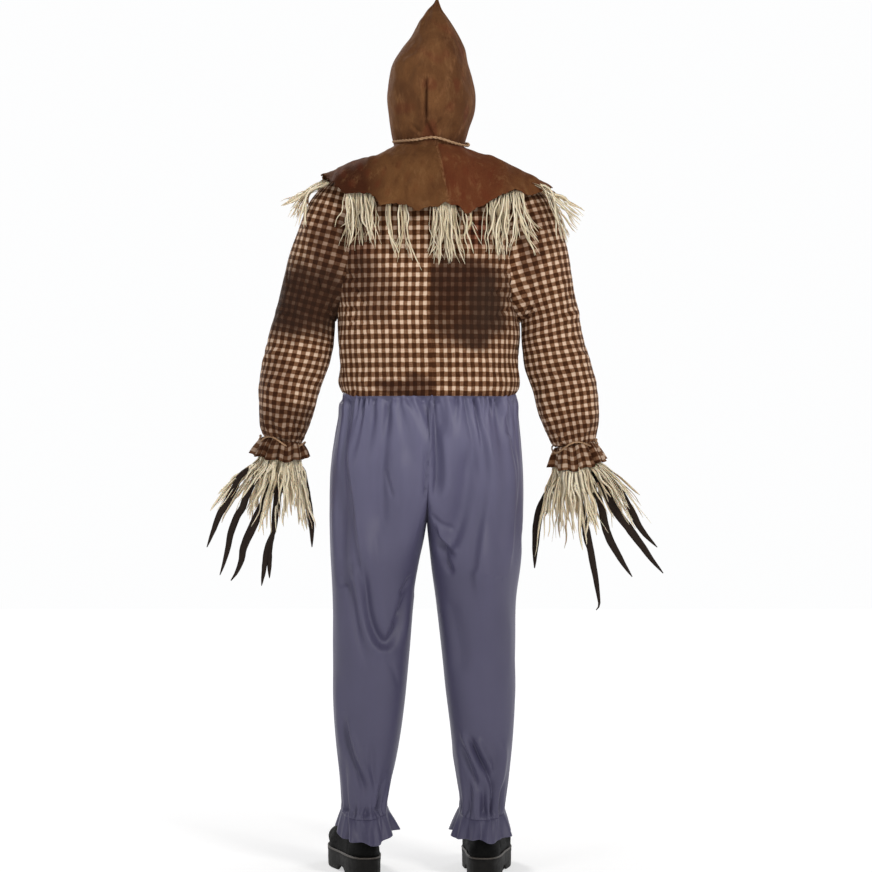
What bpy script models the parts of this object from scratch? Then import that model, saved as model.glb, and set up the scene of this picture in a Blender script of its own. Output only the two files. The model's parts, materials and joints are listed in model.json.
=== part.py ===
"""A life-size scarecrow display figure, in metres, +Z up.

The figure stands on its two boots at z = 0, faces -Y, and has its left hand at +X. A steel
frame of foot plates, leg tubes, hip yoke, spine and shoulder bar carries stuffing, clothes and a
stuffed head. The head swivels on the neck post, and each arm hinges at the shoulder and the
elbow, swivels at the wrist and curls its five claws.
"""

import math

import bmesh
import bpy
from mathutils import Matrix, Vector

UP = Vector((0, 0, 1))
BACK = Vector((0, 1, 0))
SIDES = {"left": 1, "right": -1}

# Frame: tubes slide over stubs of the welded pieces.
TUBE_RADIUS = 0.0125
TUBE_BORE = 0.0110
STUB_RADIUS = 0.0105
TUBE_ROOM = 0.0145
TUBE_SIDES = 12
HIP_HEIGHT = 0.87
YOKE_HALF_WIDTH = 0.118
SPINE_STUB = 0.08
SHOULDER_HEIGHT = 1.38
NECK_POST_RADIUS = 0.010
NECK_POST_TOP = 1.606
NECK_COLLAR_HEIGHT = 1.535
HEAD_SEAT = 1.541
HEAD_BORE_TOP = 1.612
BUSH_BORE = 0.0107
BUSH_RADIUS = 0.018
CLEARANCE = 0.0006

# Stance: where each leg's axis meets the hip yoke and the floor.
HIP_X = {"left": 0.099, "right": 0.092}
FOOT_X = {"left": 0.136, "right": 0.118}
FOOT_Y = 0.050
BOOT_ANKLE = 0.020
TOE_OUT = {"left": 11, "right": 3}
SOLE_HEIGHT = 0.040

# Arms: joint centres for the left arm; the right arm mirrors them.
SHOULDER = Vector((0.200, 0, SHOULDER_HEIGHT))
ELBOW = Vector((0.268, 0, 1.120))
WRIST = Vector((0.308, 0, 0.880))
ARM_ROD_RADIUS = 0.0110
HINGE_REACH = 0.018
LUG_HALF_WIDTH = 0.012
TONGUE_HALF = 0.003
CHEEK_NEAR = 0.0036
CHEEK_FAR = 0.0075
BOLT_RADIUS = 0.0040
BOLT_HOLE = 0.0044
BOLT_HEAD_RADIUS = 0.0072
BOLT_HEAD = 0.0050
SLEEVE_BORE = 0.0165
SLEEVE_START = 0.017
ELBOW_GAP = 0.004
ELBOW_MITRE = math.tan(math.radians(47))

# Clothes.
WAIST = 1.000
CLOTH = 0.004
STUFFING_GAP = 0.0025
NECK_CORD_HEIGHT = 1.532
NECK_CORD_RADIUS = 0.003
WRIST_CORD_RADIUS = 0.0025
RING_POINTS = 16

# Height, half width and half depth of the shirt's rings, waist to neck.
SHIRT_RINGS = [
    (1.001, 0.184, 0.120),
    (1.060, 0.187, 0.126),
    (1.150, 0.185, 0.129),
    (1.200, 0.181, 0.128),
    (1.250, 0.171, 0.124),
    (1.300, 0.158, 0.117),
    (1.340, 0.146, 0.109),
    (1.375, 0.137, 0.100),
    (1.410, 0.133, 0.090),
    (1.445, 0.115, 0.079),
    (1.475, 0.092, 0.069),
    (1.505, 0.064, 0.060),
]
# Height, half width and half depth of the trousers' seat, crotch to waist.
SEAT_RINGS = [
    (0.745, 0.198, 0.108),
    (0.800, 0.206, 0.122),
    (0.880, 0.203, 0.128),
    (0.950, 0.194, 0.124),
    (0.999, 0.186, 0.120),
]
# Height, half width and half depth of one trouser leg, gathered ankle to thigh.
LEG_RINGS = [
    (0.136, 0.050, 0.056),
    (0.190, 0.055, 0.061),
    (0.357, 0.073, 0.075),
    (0.567, 0.084, 0.088),
    (0.650, 0.090, 0.094),
    (0.735, 0.094, 0.090),
    (0.775, 0.080, 0.080),
]
RUFFLE_HALF_WIDTH = 0.067
RUFFLE_HALF_DEPTH = 0.074
RUFFLE_BACK = 0.067
RUFFLE_FRONT = 0.130
# Height, centre x, half width and half depth of the hood, neck to tip.
HOOD_RINGS = [
    (1.539, -0.003, 0.077, 0.086),
    (1.575, -0.006, 0.087, 0.098),
    (1.625, -0.007, 0.0935, 0.106),
    (1.680, -0.005, 0.083, 0.101),
    (1.720, -0.012, 0.069, 0.086),
    (1.760, -0.017, 0.047, 0.062),
    (1.795, -0.015, 0.0215, 0.030),
    (1.813, -0.018, 0.010, 0.013),
    (1.830, -0.0195, 0.003, 0.004),
]
HOOD_CENTRE_Y = -0.002
HEAD_CENTRE = Vector((-0.004, -0.010, 1.645))
HEAD_RADII = Vector((0.070, 0.086, 0.100))
MASK_LIFT = 0.0015
MASK_THICKNESS = 0.0025
# Half width, half depth, centre y, and height at the shoulders and at back and front of the cape's rings.
CAPE_RINGS = [
    (0.072, 0.074, 0.000, 1.526, 1.526),
    (0.140, 0.104, 0.002, 1.497, 1.488),
    (0.200, 0.130, 0.005, 1.474, 1.430),
    (0.247, 0.146, 0.007, 1.4535, 1.378),
]
# Place round the neck in degrees, width and length of the raffia bundles sewn under the cape.
FRINGE_BUNDLES = {
    "fringe_left_back": (52, 0.085, 0.115),
    "fringe_centre_back": (97, 0.075, 0.125),
    "fringe_right_back": (130, 0.095, 0.120),
    "fringe_left_front": (-55, 0.085, 0.115),
    "fringe_right_front": (-125, 0.085, 0.115),
}

# Each claw's centreline from knuckle to tip, as (outward x, height).
CLAWS = {
    "left": {
        "thumb": [(0.275, 0.824), (0.2555, 0.795), (0.2493, 0.742), (0.2434, 0.680)],
        "index": [(0.304, 0.800), (0.3115, 0.757), (0.3243, 0.703), (0.337, 0.645), (0.350, 0.598)],
        "middle": [(0.325, 0.795), (0.350, 0.761), (0.3736, 0.710), (0.3929, 0.656), (0.4133, 0.609)],
        "ring": [(0.345, 0.803), (0.3759, 0.778), (0.3992, 0.735), (0.4206, 0.678), (0.437, 0.619)],
        "little": [(0.360, 0.818), (0.394, 0.800), (0.4360, 0.753), (0.4690, 0.679)],
    },
    "right": {
        "thumb": [(0.275, 0.824), (0.243, 0.785), (0.2274, 0.708), (0.2237, 0.633)],
        "index": [(0.302, 0.800), (0.3203, 0.7615), (0.3429, 0.6955), (0.353, 0.630), (0.3595, 0.565), (0.3524, 0.546)],
        "middle": [(0.325, 0.795), (0.352, 0.764), (0.3812, 0.7056), (0.4141, 0.640), (0.428, 0.615)],
        "ring": [(0.345, 0.803), (0.374, 0.776), (0.4185, 0.716), (0.4640, 0.650), (0.4880, 0.6243)],
        "little": [(0.360, 0.818), (0.397, 0.798), (0.437, 0.741), (0.4796, 0.679)],
    },
}
TWIG_FORK = [(0.3308, 0.672), (0.3345, 0.645), (0.3329, 0.613)]
CLAW_RADIUS = 0.0082
CLAW_SIDES = 8
# The palm's outline from the wrist round past the little finger and the thumb.
PALM_OUTLINE = [
    (0.292, 0.873),
    (0.330, 0.873),
    (0.347, 0.845),
    (0.349, 0.831),
    (0.338, 0.816),
    (0.325, 0.807),
    (0.304, 0.812),
    (0.290, 0.814),
    (0.287, 0.838),
]
PALM_HALF_THICKNESS = 0.012


def material(name, colour, roughness, metallic=0.0):
    made = bpy.data.materials.new(name)
    made.use_nodes = True
    shader = made.node_tree.nodes["Principled BSDF"]
    shader.inputs["Base Color"].default_value = (*colour, 1)
    shader.inputs["Roughness"].default_value = roughness
    shader.inputs["Metallic"].default_value = metallic
    return made


def finish(name, bm, finish_name, smooth_angle=40):
    """Turns a closed bmesh into an object with outward faces."""
    bmesh.ops.recalc_face_normals(bm, faces=bm.faces)
    mesh = bpy.data.meshes.new(name)
    bm.to_mesh(mesh)
    bm.free()
    mesh.materials.append(bpy.data.materials[finish_name])
    mesh.shade_smooth()
    mesh.set_sharp_from_angle(angle=math.radians(smooth_angle))
    obj = bpy.data.objects.new(name, mesh)
    bpy.context.scene.collection.objects.link(obj)
    return obj


def boolean(obj, other, operation):
    """Applies a Boolean of obj with other, and removes other."""
    modifier = obj.modifiers.new("Boolean", "BOOLEAN")
    modifier.operation = operation
    modifier.object = other
    bpy.context.view_layer.update()
    graph = bpy.context.evaluated_depsgraph_get()
    obj.data = bpy.data.meshes.new_from_object(obj.evaluated_get(graph))
    obj.modifiers.clear()
    bpy.data.objects.remove(other)
    return obj


def joint(name, position, axis, parent=None):
    """An empty on a joint's axis, with its Z along it."""
    empty = bpy.data.objects.new(name, None)
    bpy.context.scene.collection.objects.link(empty)
    turn = axis.to_track_quat("Z", "Y").to_matrix().to_4x4()
    world = Matrix.Translation(position) @ turn
    empty.empty_display_size = 0.03
    if parent:
        empty.parent = parent
        empty.matrix_parent_inverse = Matrix.Identity(4)
        empty.matrix_local = parent.matrix_world.inverted() @ world
    else:
        empty.matrix_world = world
    bpy.context.view_layer.update()
    return empty


def attach(parent, *objects):
    """Parents pieces to a joint, with their origins on its axis."""
    for obj in objects:
        if obj.type == "MESH":
            obj.data.transform(parent.matrix_world.inverted())
            obj.parent = parent
        else:
            obj.parent = parent
            obj.matrix_parent_inverse = parent.matrix_world.inverted()


def axes(origin, along, hinge):
    """A frame at origin with its Z along a link and its Y along a hinge."""
    z = along.normalized()
    x = hinge.cross(z).normalized()
    y = z.cross(x)
    return Matrix.Translation(origin) @ Matrix((x, y, z)).transposed().to_4x4()


def oval(half_x, half_y, z, centre=(0.0, 0.0), count=RING_POINTS, power=2.0):
    """A superellipse in a plane of constant z."""
    points = []
    for i in range(count):
        angle = 2 * math.pi * i / count
        c, s = math.cos(angle), math.sin(angle)
        x = math.copysign(abs(c) ** (2 / power), c) * half_x
        y = math.copysign(abs(s) ** (2 / power), s) * half_y
        points.append(Vector((centre[0] + x, centre[1] + y, z)))
    return points


def moved(matrix, points):
    return [matrix @ p for p in points]


def add_loft(bm, rings, cap_start=True, cap_end=True):
    rows = [[bm.verts.new(p) for p in ring] for ring in rings]
    for low, high in zip(rows, rows[1:]):
        for j, vertex in enumerate(low):
            k = (j + 1) % len(low)
            bm.faces.new((vertex, low[k], high[k], high[j]))
    if cap_start:
        bm.faces.new(rows[0][::-1])
    if cap_end:
        bm.faces.new(rows[-1])
    return rows


def add_shell(bm, outer, inner, closed_start=False, closed_end=False):
    """A wall between two lofts. An end that isn't closed is open, with a flat rim."""
    out_rows = add_loft(bm, outer, closed_start, closed_end)
    in_rows = add_loft(bm, inner, closed_start, closed_end)
    for end, closed in ((0, closed_start), (-1, closed_end)):
        if closed:
            continue
        a, b = out_rows[end], in_rows[end]
        for j, vertex in enumerate(a):
            k = (j + 1) % len(a)
            bm.faces.new((vertex, a[k], b[k], b[j]))


def shell(name, outer, inner, finish_name, closed_start=False, closed_end=False):
    bm = bmesh.new()
    add_shell(bm, outer, inner, closed_start, closed_end)
    return finish(name, bm, finish_name)


def solid(name, rings, finish_name, smooth_angle=40):
    bm = bmesh.new()
    add_loft(bm, rings)
    return finish(name, bm, finish_name, smooth_angle)


def rod(name, start, end, radius, finish_name="steel", sides=TUBE_SIDES):
    frame = axes(start, end - start, BACK if abs((end - start).y) < 0.9 * (end - start).length else UP)
    length = (end - start).length
    rings = [moved(frame, oval(radius, radius, z, count=sides)) for z in (0, length)]
    return solid(name, rings, finish_name)


def tube(name, start, end):
    """A steel tube, open at both ends."""
    frame = axes(start, end - start, BACK)
    length = (end - start).length
    walls = [
        [moved(frame, oval(r, r, z, count=TUBE_SIDES)) for z in (0, length)]
        for r in (TUBE_RADIUS, TUBE_BORE)
    ]
    return shell(name, *walls, "steel")


def lug(frame, near, far, reach):
    """A plate with a round end at the frame's origin, reaching along its Z, between two places on its Y."""
    outline = [(LUG_HALF_WIDTH, reach), (LUG_HALF_WIDTH, 0)]
    outline += [
        (LUG_HALF_WIDTH * math.cos(a), -LUG_HALF_WIDTH * math.sin(a))
        for a in (math.pi * i / 6 for i in range(1, 6))
    ]
    outline += [(-LUG_HALF_WIDTH, 0), (-LUG_HALF_WIDTH, reach)]
    rings = [[frame @ Vector((x, y, z)) for x, z in outline] for y in (near, far)]
    return solid("lug", rings, "steel")


def pin_hole(frame):
    reach = 0.03
    ends = [frame @ Vector((0, y, 0)) for y in (-reach, reach)]
    return rod("pin_hole", *ends, BOLT_HOLE)


def add_tongue(obj, frame):
    """Joins a drilled tongue to a link whose end is at the frame's origin."""
    boolean(obj, lug(frame, -TONGUE_HALF, TONGUE_HALF, HINGE_REACH + 0.004), "UNION")
    boolean(obj, pin_hole(frame), "DIFFERENCE")


def add_fork(obj, frame):
    """Joins two drilled cheeks to a link whose end is at the frame's origin."""
    for near, far in ((CHEEK_NEAR, CHEEK_FAR), (-CHEEK_FAR, -CHEEK_NEAR)):
        boolean(obj, lug(frame, near, far, HINGE_REACH + 0.004), "UNION")
    boolean(obj, pin_hole(frame), "DIFFERENCE")


def pivot_bolt(name, frame):
    """A hinge bolt with its head and lock nut, along the frame's Y."""
    inner = CHEEK_FAR + CLEARANCE
    outer = inner + BOLT_HEAD
    stations = [
        (-outer, BOLT_HEAD_RADIUS),
        (-inner, BOLT_HEAD_RADIUS),
        (-inner, BOLT_RADIUS),
        (inner, BOLT_RADIUS),
        (inner, BOLT_HEAD_RADIUS),
        (outer, BOLT_HEAD_RADIUS),
    ]
    turn = Matrix.Rotation(-math.pi / 2, 4, "X")
    rings = [moved(frame @ turn, oval(r, r, y, count=TUBE_SIDES)) for y, r in stations]
    return solid(name, rings, "zinc", 30)


# ---------------------------------------------------------------- boots and legs


def foot_outline(z, heel, toe, half_width, count=20):
    """A shoe's outline: a round heel, a waist, and a wider ball towards the toe at -y."""
    points = []
    centre, half_length = (heel + toe) / 2, (heel - toe) / 2
    for i in range(count):
        angle = 2 * math.pi * i / count
        y = centre + half_length * math.copysign(abs(math.sin(angle)) ** 0.85, math.sin(angle))
        share = (heel - y) / (heel - toe)
        ball = min(1.0, max(0.0, (share - 0.30) / 0.38))
        width = half_width * (0.76 + 0.24 * ball * ball * (3 - 2 * ball))
        x = width * math.copysign(abs(math.cos(angle)) ** 0.7, math.cos(angle))
        points.append(Vector((x, y, z)))
    return points


# Height, heel y, toe y and half width of the boot upper, sole to collar.
BOOT_RINGS = [
    (0.0405, 0.082, -0.192, 0.049),
    (0.058, 0.083, -0.193, 0.048),
    (0.076, 0.079, -0.168, 0.044),
    (0.092, 0.075, -0.110, 0.040),
    (0.106, 0.071, -0.058, 0.038),
    (0.120, 0.067, -0.030, 0.037),
]
BOOT_WALL = 0.004
INSOLE_TOP = 0.0455


def boots(side, sign):
    ankle = Vector((sign * FOOT_X[side], FOOT_Y, 0))
    place = Matrix.Translation(ankle) @ Matrix.Rotation(math.radians(sign * TOE_OUT[side]), 4, "Z")
    place = place @ Matrix.Translation((0, -BOOT_ANKLE, 0))

    sole_rings = [
        foot_outline(0.000, 0.086, -0.197, 0.051),
        foot_outline(0.006, 0.088, -0.200, 0.053),
        foot_outline(SOLE_HEIGHT, 0.089, -0.201, 0.054),
    ]
    outsole = solid(f"{side}_outsole", [moved(place, r) for r in sole_rings], "sole_rubber")
    arch = solid(
        "arch",
        [
            moved(place, [Vector(p) for p in ((-0.08, 0.012, z), (-0.08, -0.038, z), (0.08, -0.038, z), (0.08, 0.012, z))])
            for z in (-0.01, 0.014)
        ],
        "sole_rubber",
    )
    boolean(outsole, arch, "DIFFERENCE")

    outer = [foot_outline(z, heel, toe, w) for z, heel, toe, w in BOOT_RINGS]
    inner = [
        foot_outline(max(z, INSOLE_TOP), heel - BOOT_WALL, toe + 1.6 * BOOT_WALL, w - BOOT_WALL)
        for z, heel, toe, w in BOOT_RINGS
    ]
    shell(
        f"{side}_boot",
        [moved(place, r) for r in outer],
        [moved(place, r) for r in inner],
        "boot_leather",
        closed_start=True,
    )

    plate_bottom, plate_top = INSOLE_TOP + CLEARANCE, INSOLE_TOP + CLEARANCE + 0.003
    plate = solid(
        f"{side}_foot_plate",
        [moved(place, foot_outline(z, 0.062, -0.120, 0.032)) for z in (plate_bottom, plate_top)],
        "steel",
    )
    hip, foot = leg_axis(side, sign)
    direction = (hip - foot).normalized()
    stub_end = foot + direction * 0.085
    stub_start = foot - direction * ((foot.z - plate_bottom - 0.001) / direction.z)
    boolean(plate, rod("stub", stub_start, stub_end, STUB_RADIUS), "UNION")


def leg_axis(side, sign):
    """The leg tube's axis: its crossing with the hip yoke and its foot, 55 mm above the floor."""
    hip = Vector((sign * HIP_X[side], 0, HIP_HEIGHT))
    foot = Vector((sign * FOOT_X[side], FOOT_Y, 0.055))
    return hip, foot


def leg_tube(side, sign):
    hip, foot = leg_axis(side, sign)
    down = (foot - hip).normalized()
    tube(f"{side}_leg_tube", foot, hip + down * (TUBE_RADIUS + 0.003))


# ---------------------------------------------------------------- frame


def hip_yoke():
    ends = [Vector((x, 0, HIP_HEIGHT)) for x in (-YOKE_HALF_WIDTH, YOKE_HALF_WIDTH)]
    yoke = rod("hip_yoke", *ends, TUBE_RADIUS)
    for side, sign in SIDES.items():
        hip, foot = leg_axis(side, sign)
        down = (foot - hip).normalized()
        boolean(yoke, rod("stub", hip, hip + down * SPINE_STUB, STUB_RADIUS), "UNION")
    top = Vector((0, 0, HIP_HEIGHT + SPINE_STUB))
    boolean(yoke, rod("stub", Vector((0, 0, HIP_HEIGHT)), top, STUB_RADIUS), "UNION")


def spine_tube():
    low = HIP_HEIGHT + TUBE_RADIUS + 0.002
    high = SHOULDER_HEIGHT - TUBE_RADIUS - 0.002
    tube("spine_tube", Vector((0, 0, low)), Vector((0, 0, high)))


def shoulder_bar():
    reach = SHOULDER.x - HINGE_REACH
    bar = rod("shoulder_bar", Vector((-reach, 0, SHOULDER_HEIGHT)), Vector((reach, 0, SHOULDER_HEIGHT)), TUBE_RADIUS)
    centre = Vector((0, 0, SHOULDER_HEIGHT))
    boolean(bar, rod("stub", centre, centre - UP * SPINE_STUB, STUB_RADIUS), "UNION")
    boolean(bar, rod("post", centre, Vector((0, 0, NECK_POST_TOP)), NECK_POST_RADIUS), "UNION")
    collar = Vector((0, 0, NECK_COLLAR_HEIGHT))
    boolean(bar, rod("collar", collar, collar + UP * 0.005, 0.020), "UNION")
    for sign in SIDES.values():
        pivot = Vector((sign * SHOULDER.x, 0, SHOULDER_HEIGHT))
        add_fork(bar, axes(pivot, Vector((-sign, 0, 0)), BACK))


# ---------------------------------------------------------------- stuffing and clothes


def body_ring(z, half_width, half_depth, shrink=0.0):
    return oval(half_width - shrink, half_depth - shrink, z, power=2.3)


def shirt():
    outer = [body_ring(*r) for r in SHIRT_RINGS]
    inner = [body_ring(*r, CLOTH) for r in SHIRT_RINGS]
    body = shell("shirt_body", outer, inner, "gingham")
    holes = [Vector((x, 0, SHOULDER_HEIGHT)) for x in (-0.25, 0.25)]
    boolean(body, rod("armholes", *holes, 0.030, sides=RING_POINTS), "DIFFERENCE")

    shrink = CLOTH + STUFFING_GAP
    stations = [(z, a, b) for z, a, b in SHIRT_RINGS if z < SHOULDER_HEIGHT - 0.025]
    lowest = (WAIST + 0.012, *SHIRT_RINGS[0][1:])
    stuffed = [body_ring(*r, shrink) for r in [lowest, *stations[1:]]]
    bore = [oval(TUBE_ROOM, TUBE_ROOM, ring[0].z) for ring in (stuffed[0], stuffed[-1])]
    shell("torso_stuffing", stuffed, bore, "stuffing")


def leg_ring(side, sign, z, half_width, half_depth, shrink):
    hip, foot = leg_axis(side, sign)
    centre = foot.lerp(hip, (z - foot.z) / (hip.z - foot.z))
    return oval(half_width - shrink, half_depth - shrink, z, (centre.x, centre.y))


def ruffle_ring(side, sign, shrink, drop):
    """The trouser leg's free edge, low behind the boot and high over its instep."""
    ring = leg_ring(side, sign, RUFFLE_BACK, RUFFLE_HALF_WIDTH, RUFFLE_HALF_DEPTH, 1.6 * shrink)
    for point in ring:
        front = max(0.0, min(1.0, (0.045 - (point.y - FOOT_Y)) / 0.09))
        point.z = RUFFLE_BACK + (RUFFLE_FRONT - 0.008 - RUFFLE_BACK) * front * front * (3 - 2 * front) - drop
    return ring


def trouser_solid(name, shrink, top, ruffle_drop=None, lowest=0.0):
    """Both legs and the seat as one solid, shrunk all round; ruffle_drop adds the ruffles."""
    rings = [body_ring(*r, shrink) for r in SEAT_RINGS]
    rings[0] = [p + UP * shrink for p in rings[0]]
    rings[-1] = [Vector((p.x, p.y, top)) for p in rings[-1]]
    whole = solid(name, rings, "trouser_cloth")
    for side, sign in SIDES.items():
        stations = [r for r in LEG_RINGS if r[0] > lowest]
        leg = [leg_ring(side, sign, *r, shrink) for r in stations]
        if ruffle_drop is not None:
            leg.insert(0, ruffle_ring(side, sign, shrink, ruffle_drop))
        boolean(whole, solid("leg", leg, "trouser_cloth"), "UNION")
    return whole


def trousers():
    garment = trouser_solid("trousers", 0.0, WAIST - 0.0005, ruffle_drop=0.0)
    boolean(garment, trouser_solid("inside", CLOTH, WAIST + 0.010, ruffle_drop=0.010), "DIFFERENCE")

    stuffed = trouser_solid("trouser_stuffing", CLOTH + STUFFING_GAP, WAIST - 0.012, lowest=0.15)
    stuffed.data.materials[0] = bpy.data.materials["stuffing"]
    centre = Vector((0, 0, HIP_HEIGHT))
    yoke_end = Vector((YOKE_HALF_WIDTH + 0.002, 0, 0))
    boolean(stuffed, rod("room", centre - yoke_end, centre + yoke_end, TUBE_ROOM + 0.0010), "DIFFERENCE")
    boolean(stuffed, rod("room", centre, centre + UP * 0.2, TUBE_ROOM + 0.0005), "DIFFERENCE")
    for side, sign in SIDES.items():
        hip, foot = leg_axis(side, sign)
        boolean(stuffed, rod("room", foot, hip, TUBE_ROOM), "DIFFERENCE")


def cape_ring(half_width, half_depth, centre_y, side_z, middle_z, shrink=0.0, lower=0.0):
    ring = oval(half_width - shrink, half_depth - shrink, 0, (0, centre_y), count=24)
    for i, point in enumerate(ring):
        sideways = abs(math.cos(2 * math.pi * i / len(ring))) ** 1.5
        point.z = middle_z + (side_z - middle_z) * sideways - lower
    return ring


def cape():
    outer = [cape_ring(*r) for r in CAPE_RINGS]
    inner = [cape_ring(*r, shrink=0.0035, lower=0.003) for r in CAPE_RINGS]
    shell("cape", outer, inner, "sackcloth")


def fringe():
    """The raffia bundles: flat tongues behind the cape's edge, and one off each shoulder."""
    half_width, half_depth, centre_y, side_z, middle_z = CAPE_RINGS[-1]
    for name, (place, width, length) in FRINGE_BUNDLES.items():
        angle = math.radians(place)
        hem = middle_z + (side_z - middle_z) * abs(math.cos(angle)) ** 1.5
        edge = Vector((half_width * math.cos(angle), half_depth * math.sin(angle), 0))
        outward = Vector((math.cos(angle) / half_width, math.sin(angle) / half_depth, 0)).normalized()
        across = UP.cross(outward)
        rings = []
        for share, scale in ((0, 0.81), (0.35, 0.89), (1, 0.93)):
            centre = edge * scale
            centre.y += centre_y
            centre.z = hem + 0.014 - length * share
            half = width / 2 * (0.9 + 0.1 * share)
            rings.append(
                [
                    centre + across * u * half + outward * v * 0.003
                    for u, v in ((-1, -1), (1, -1), (1, 1), (-1, 1))
                ]
            )
        solid(name, rings, "raffia")
    for side, sign in SIDES.items():
        rings = [
            [Vector((sign * x, y, z)) for y, z in ((-half, low), (half, low), (half, low + thick), (-half, low + thick))]
            for x, half, low, thick in ((0.2485, 0.040, 1.4465, 0.007), (0.305, 0.050, 1.4420, 0.004))
        ]
        solid(f"fringe_{side}_shoulder", rings, "raffia")


def cord_ring(name, points, radius, finish_name):
    curve = bpy.data.curves.new(name, "CURVE")
    curve.dimensions = "3D"
    curve.bevel_depth = radius
    curve.bevel_resolution = 2
    spline = curve.splines.new("POLY")
    spline.points.add(len(points) - 1)
    for slot, point in zip(spline.points, points):
        slot.co = (*point, 1)
    spline.use_cyclic_u = True
    curve.materials.append(bpy.data.materials[finish_name])
    obj = bpy.data.objects.new(name, curve)
    bpy.context.scene.collection.objects.link(obj)
    return obj


def neck_ring_point(angle):
    """The neck cord's centreline, a little lower at the shoulders than behind."""
    c, s = math.cos(angle), math.sin(angle)
    return Vector((-0.003 + 0.0785 * c, -0.001 + 0.0855 * s, NECK_CORD_HEIGHT + 0.0012 * (s - c * c)))


def neck_cord():
    ring = [neck_ring_point(2 * math.pi * i / 28) for i in range(28)]
    cord_ring("neck_cord", ring, NECK_CORD_RADIUS, "cord")
    for side, sign in SIDES.items():
        bend = [
            Vector((sign * 0.006, -0.0938, 1.5285)),
            Vector((sign * 0.009, -0.1010, 1.5120)),
            Vector((sign * 0.014, -0.1095, 1.4900)),
            Vector((sign * 0.020, -0.1225, 1.4600)),
            Vector((sign * 0.024, -0.1345, 1.4250)),
            Vector((sign * 0.026, -0.1425, 1.3950)),
        ]
        route = smooth_route(bend, 14)
        tail = cord_ring(f"neck_cord_{side}_tail", route, NECK_CORD_RADIUS, "cord")
        tail.data.splines[0].use_cyclic_u = False
        tail.data.use_fill_caps = True


def smooth_route(points, count):
    """Evenly spaced points on a Catmull-Rom curve through the route's own points."""
    padded = [2 * points[0] - points[1], *points, 2 * points[-1] - points[-2]]
    fine = []
    for a, b, c, d in zip(padded, padded[1:], padded[2:], padded[3:]):
        for step in range(16):
            t = step / 16
            fine.append(
                0.5 * (2 * b + (c - a) * t + (2 * a - 5 * b + 4 * c - d) * t**2 + (3 * b - a - 3 * c + d) * t**3)
            )
    fine.append(points[-1])
    along = [0.0]
    for a, b in zip(fine, fine[1:]):
        along.append(along[-1] + (b - a).length)
    route = []
    for i in range(count):
        target = along[-1] * i / (count - 1)
        k = max(j for j, reached in enumerate(along[:-1]) if reached <= target + 1e-9)
        share = (target - along[k]) / (along[k + 1] - along[k])
        route.append(fine[k].lerp(fine[k + 1], share))
    return route


# ---------------------------------------------------------------- head


def head_point(angle, z, lift):
    """A point on the stuffed head, lifted off its surface."""
    height = (z - HEAD_CENTRE.z) / (HEAD_RADII.z + lift)
    scale = math.sqrt(max(0.0, 1 - height * height))
    x = (HEAD_RADII.x + lift) * scale * math.cos(angle)
    y = (HEAD_RADII.y + lift) * scale * math.sin(angle)
    return Vector((HEAD_CENTRE.x + x, HEAD_CENTRE.y + y, z))


def head():
    turns = [2 * math.pi * i / RING_POINTS for i in range(RING_POINTS)]
    heights = [HEAD_SEAT + 0.006, 1.560, 1.585, 1.615, 1.645, 1.675, 1.705, 1.730, 1.743]
    outer = [[head_point(a, z, 0) for a in turns] for z in heights]
    bore_radius = BUSH_RADIUS + 0.0003
    inner = [oval(bore_radius, bore_radius, z) for z in (heights[0], HEAD_BORE_TOP)]
    form = shell("head_form", outer, inner, "stuffing", closed_end=True)

    bush = shell(
        "neck_bush",
        [oval(r, r, z) for r, z in ((BUSH_RADIUS, HEAD_SEAT), (BUSH_RADIUS, HEAD_BORE_TOP - 0.004))],
        [oval(BUSH_BORE, BUSH_BORE, z) for z in (HEAD_SEAT, HEAD_BORE_TOP - 0.004)],
        "bush_plastic",
    )

    outer = [oval(a, b, z, (x, HOOD_CENTRE_Y)) for z, x, a, b in HOOD_RINGS]
    inner = [
        oval(max(0.001, a - CLOTH), max(0.001, b - CLOTH), z - 0.5 * CLOTH * (z > 1.7), (x, HOOD_CENTRE_Y))
        for z, x, a, b in HOOD_RINGS[:-1]
    ]
    inner[0] = [Vector((p.x, p.y, HOOD_RINGS[0][0])) for p in inner[0]]
    hood = shell_with_tip("hood", outer, inner)
    opening = [
        [Vector((-0.004 + p.x, y, 1.632 + p.y)) for p in oval(0.054, 0.066, 0)] for y in (-0.20, -0.045)
    ]
    boolean(hood, solid("opening", opening, "sackcloth"), "DIFFERENCE")

    mask = face_mask()
    buttons = [eye_button(side, sign) for side, sign in SIDES.items()]
    turn = joint("head_turn", Vector((0, 0, HEAD_SEAT)), UP)
    attach(turn, form, bush, hood, mask, *buttons)


def shell_with_tip(name, outer, inner):
    """An open-bottomed shell whose closed top ends in a solid tip."""
    return shell(name, outer, inner, "sackcloth", closed_end=True)


def face_mask():
    """A sewn cloth panel over the front of the head, from brow to chin."""
    columns, rows = 11, 8
    grids = []
    for lift in (MASK_LIFT + MASK_THICKNESS, MASK_LIFT):
        grid = []
        for j in range(rows):
            z = 1.558 + (1.700 - 1.558) * j / (rows - 1)
            grid.append(
                [head_point(math.radians(208 + 124 * i / (columns - 1)), z, lift) for i in range(columns)]
            )
        grids.append(grid)
    bm = bmesh.new()
    made = [[[bm.verts.new(p) for p in row] for row in grid] for grid in grids]
    for grid in made:
        for low, high in zip(grid, grid[1:]):
            for i in range(columns - 1):
                bm.faces.new((low[i], low[i + 1], high[i + 1], high[i]))
    for front, behind in zip(rim(made[0]), rim(made[1])):
        bm.faces.new((front[0], front[1], behind[1], behind[0]))
    return finish("face_mask", bm, "mask_cloth")


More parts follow.
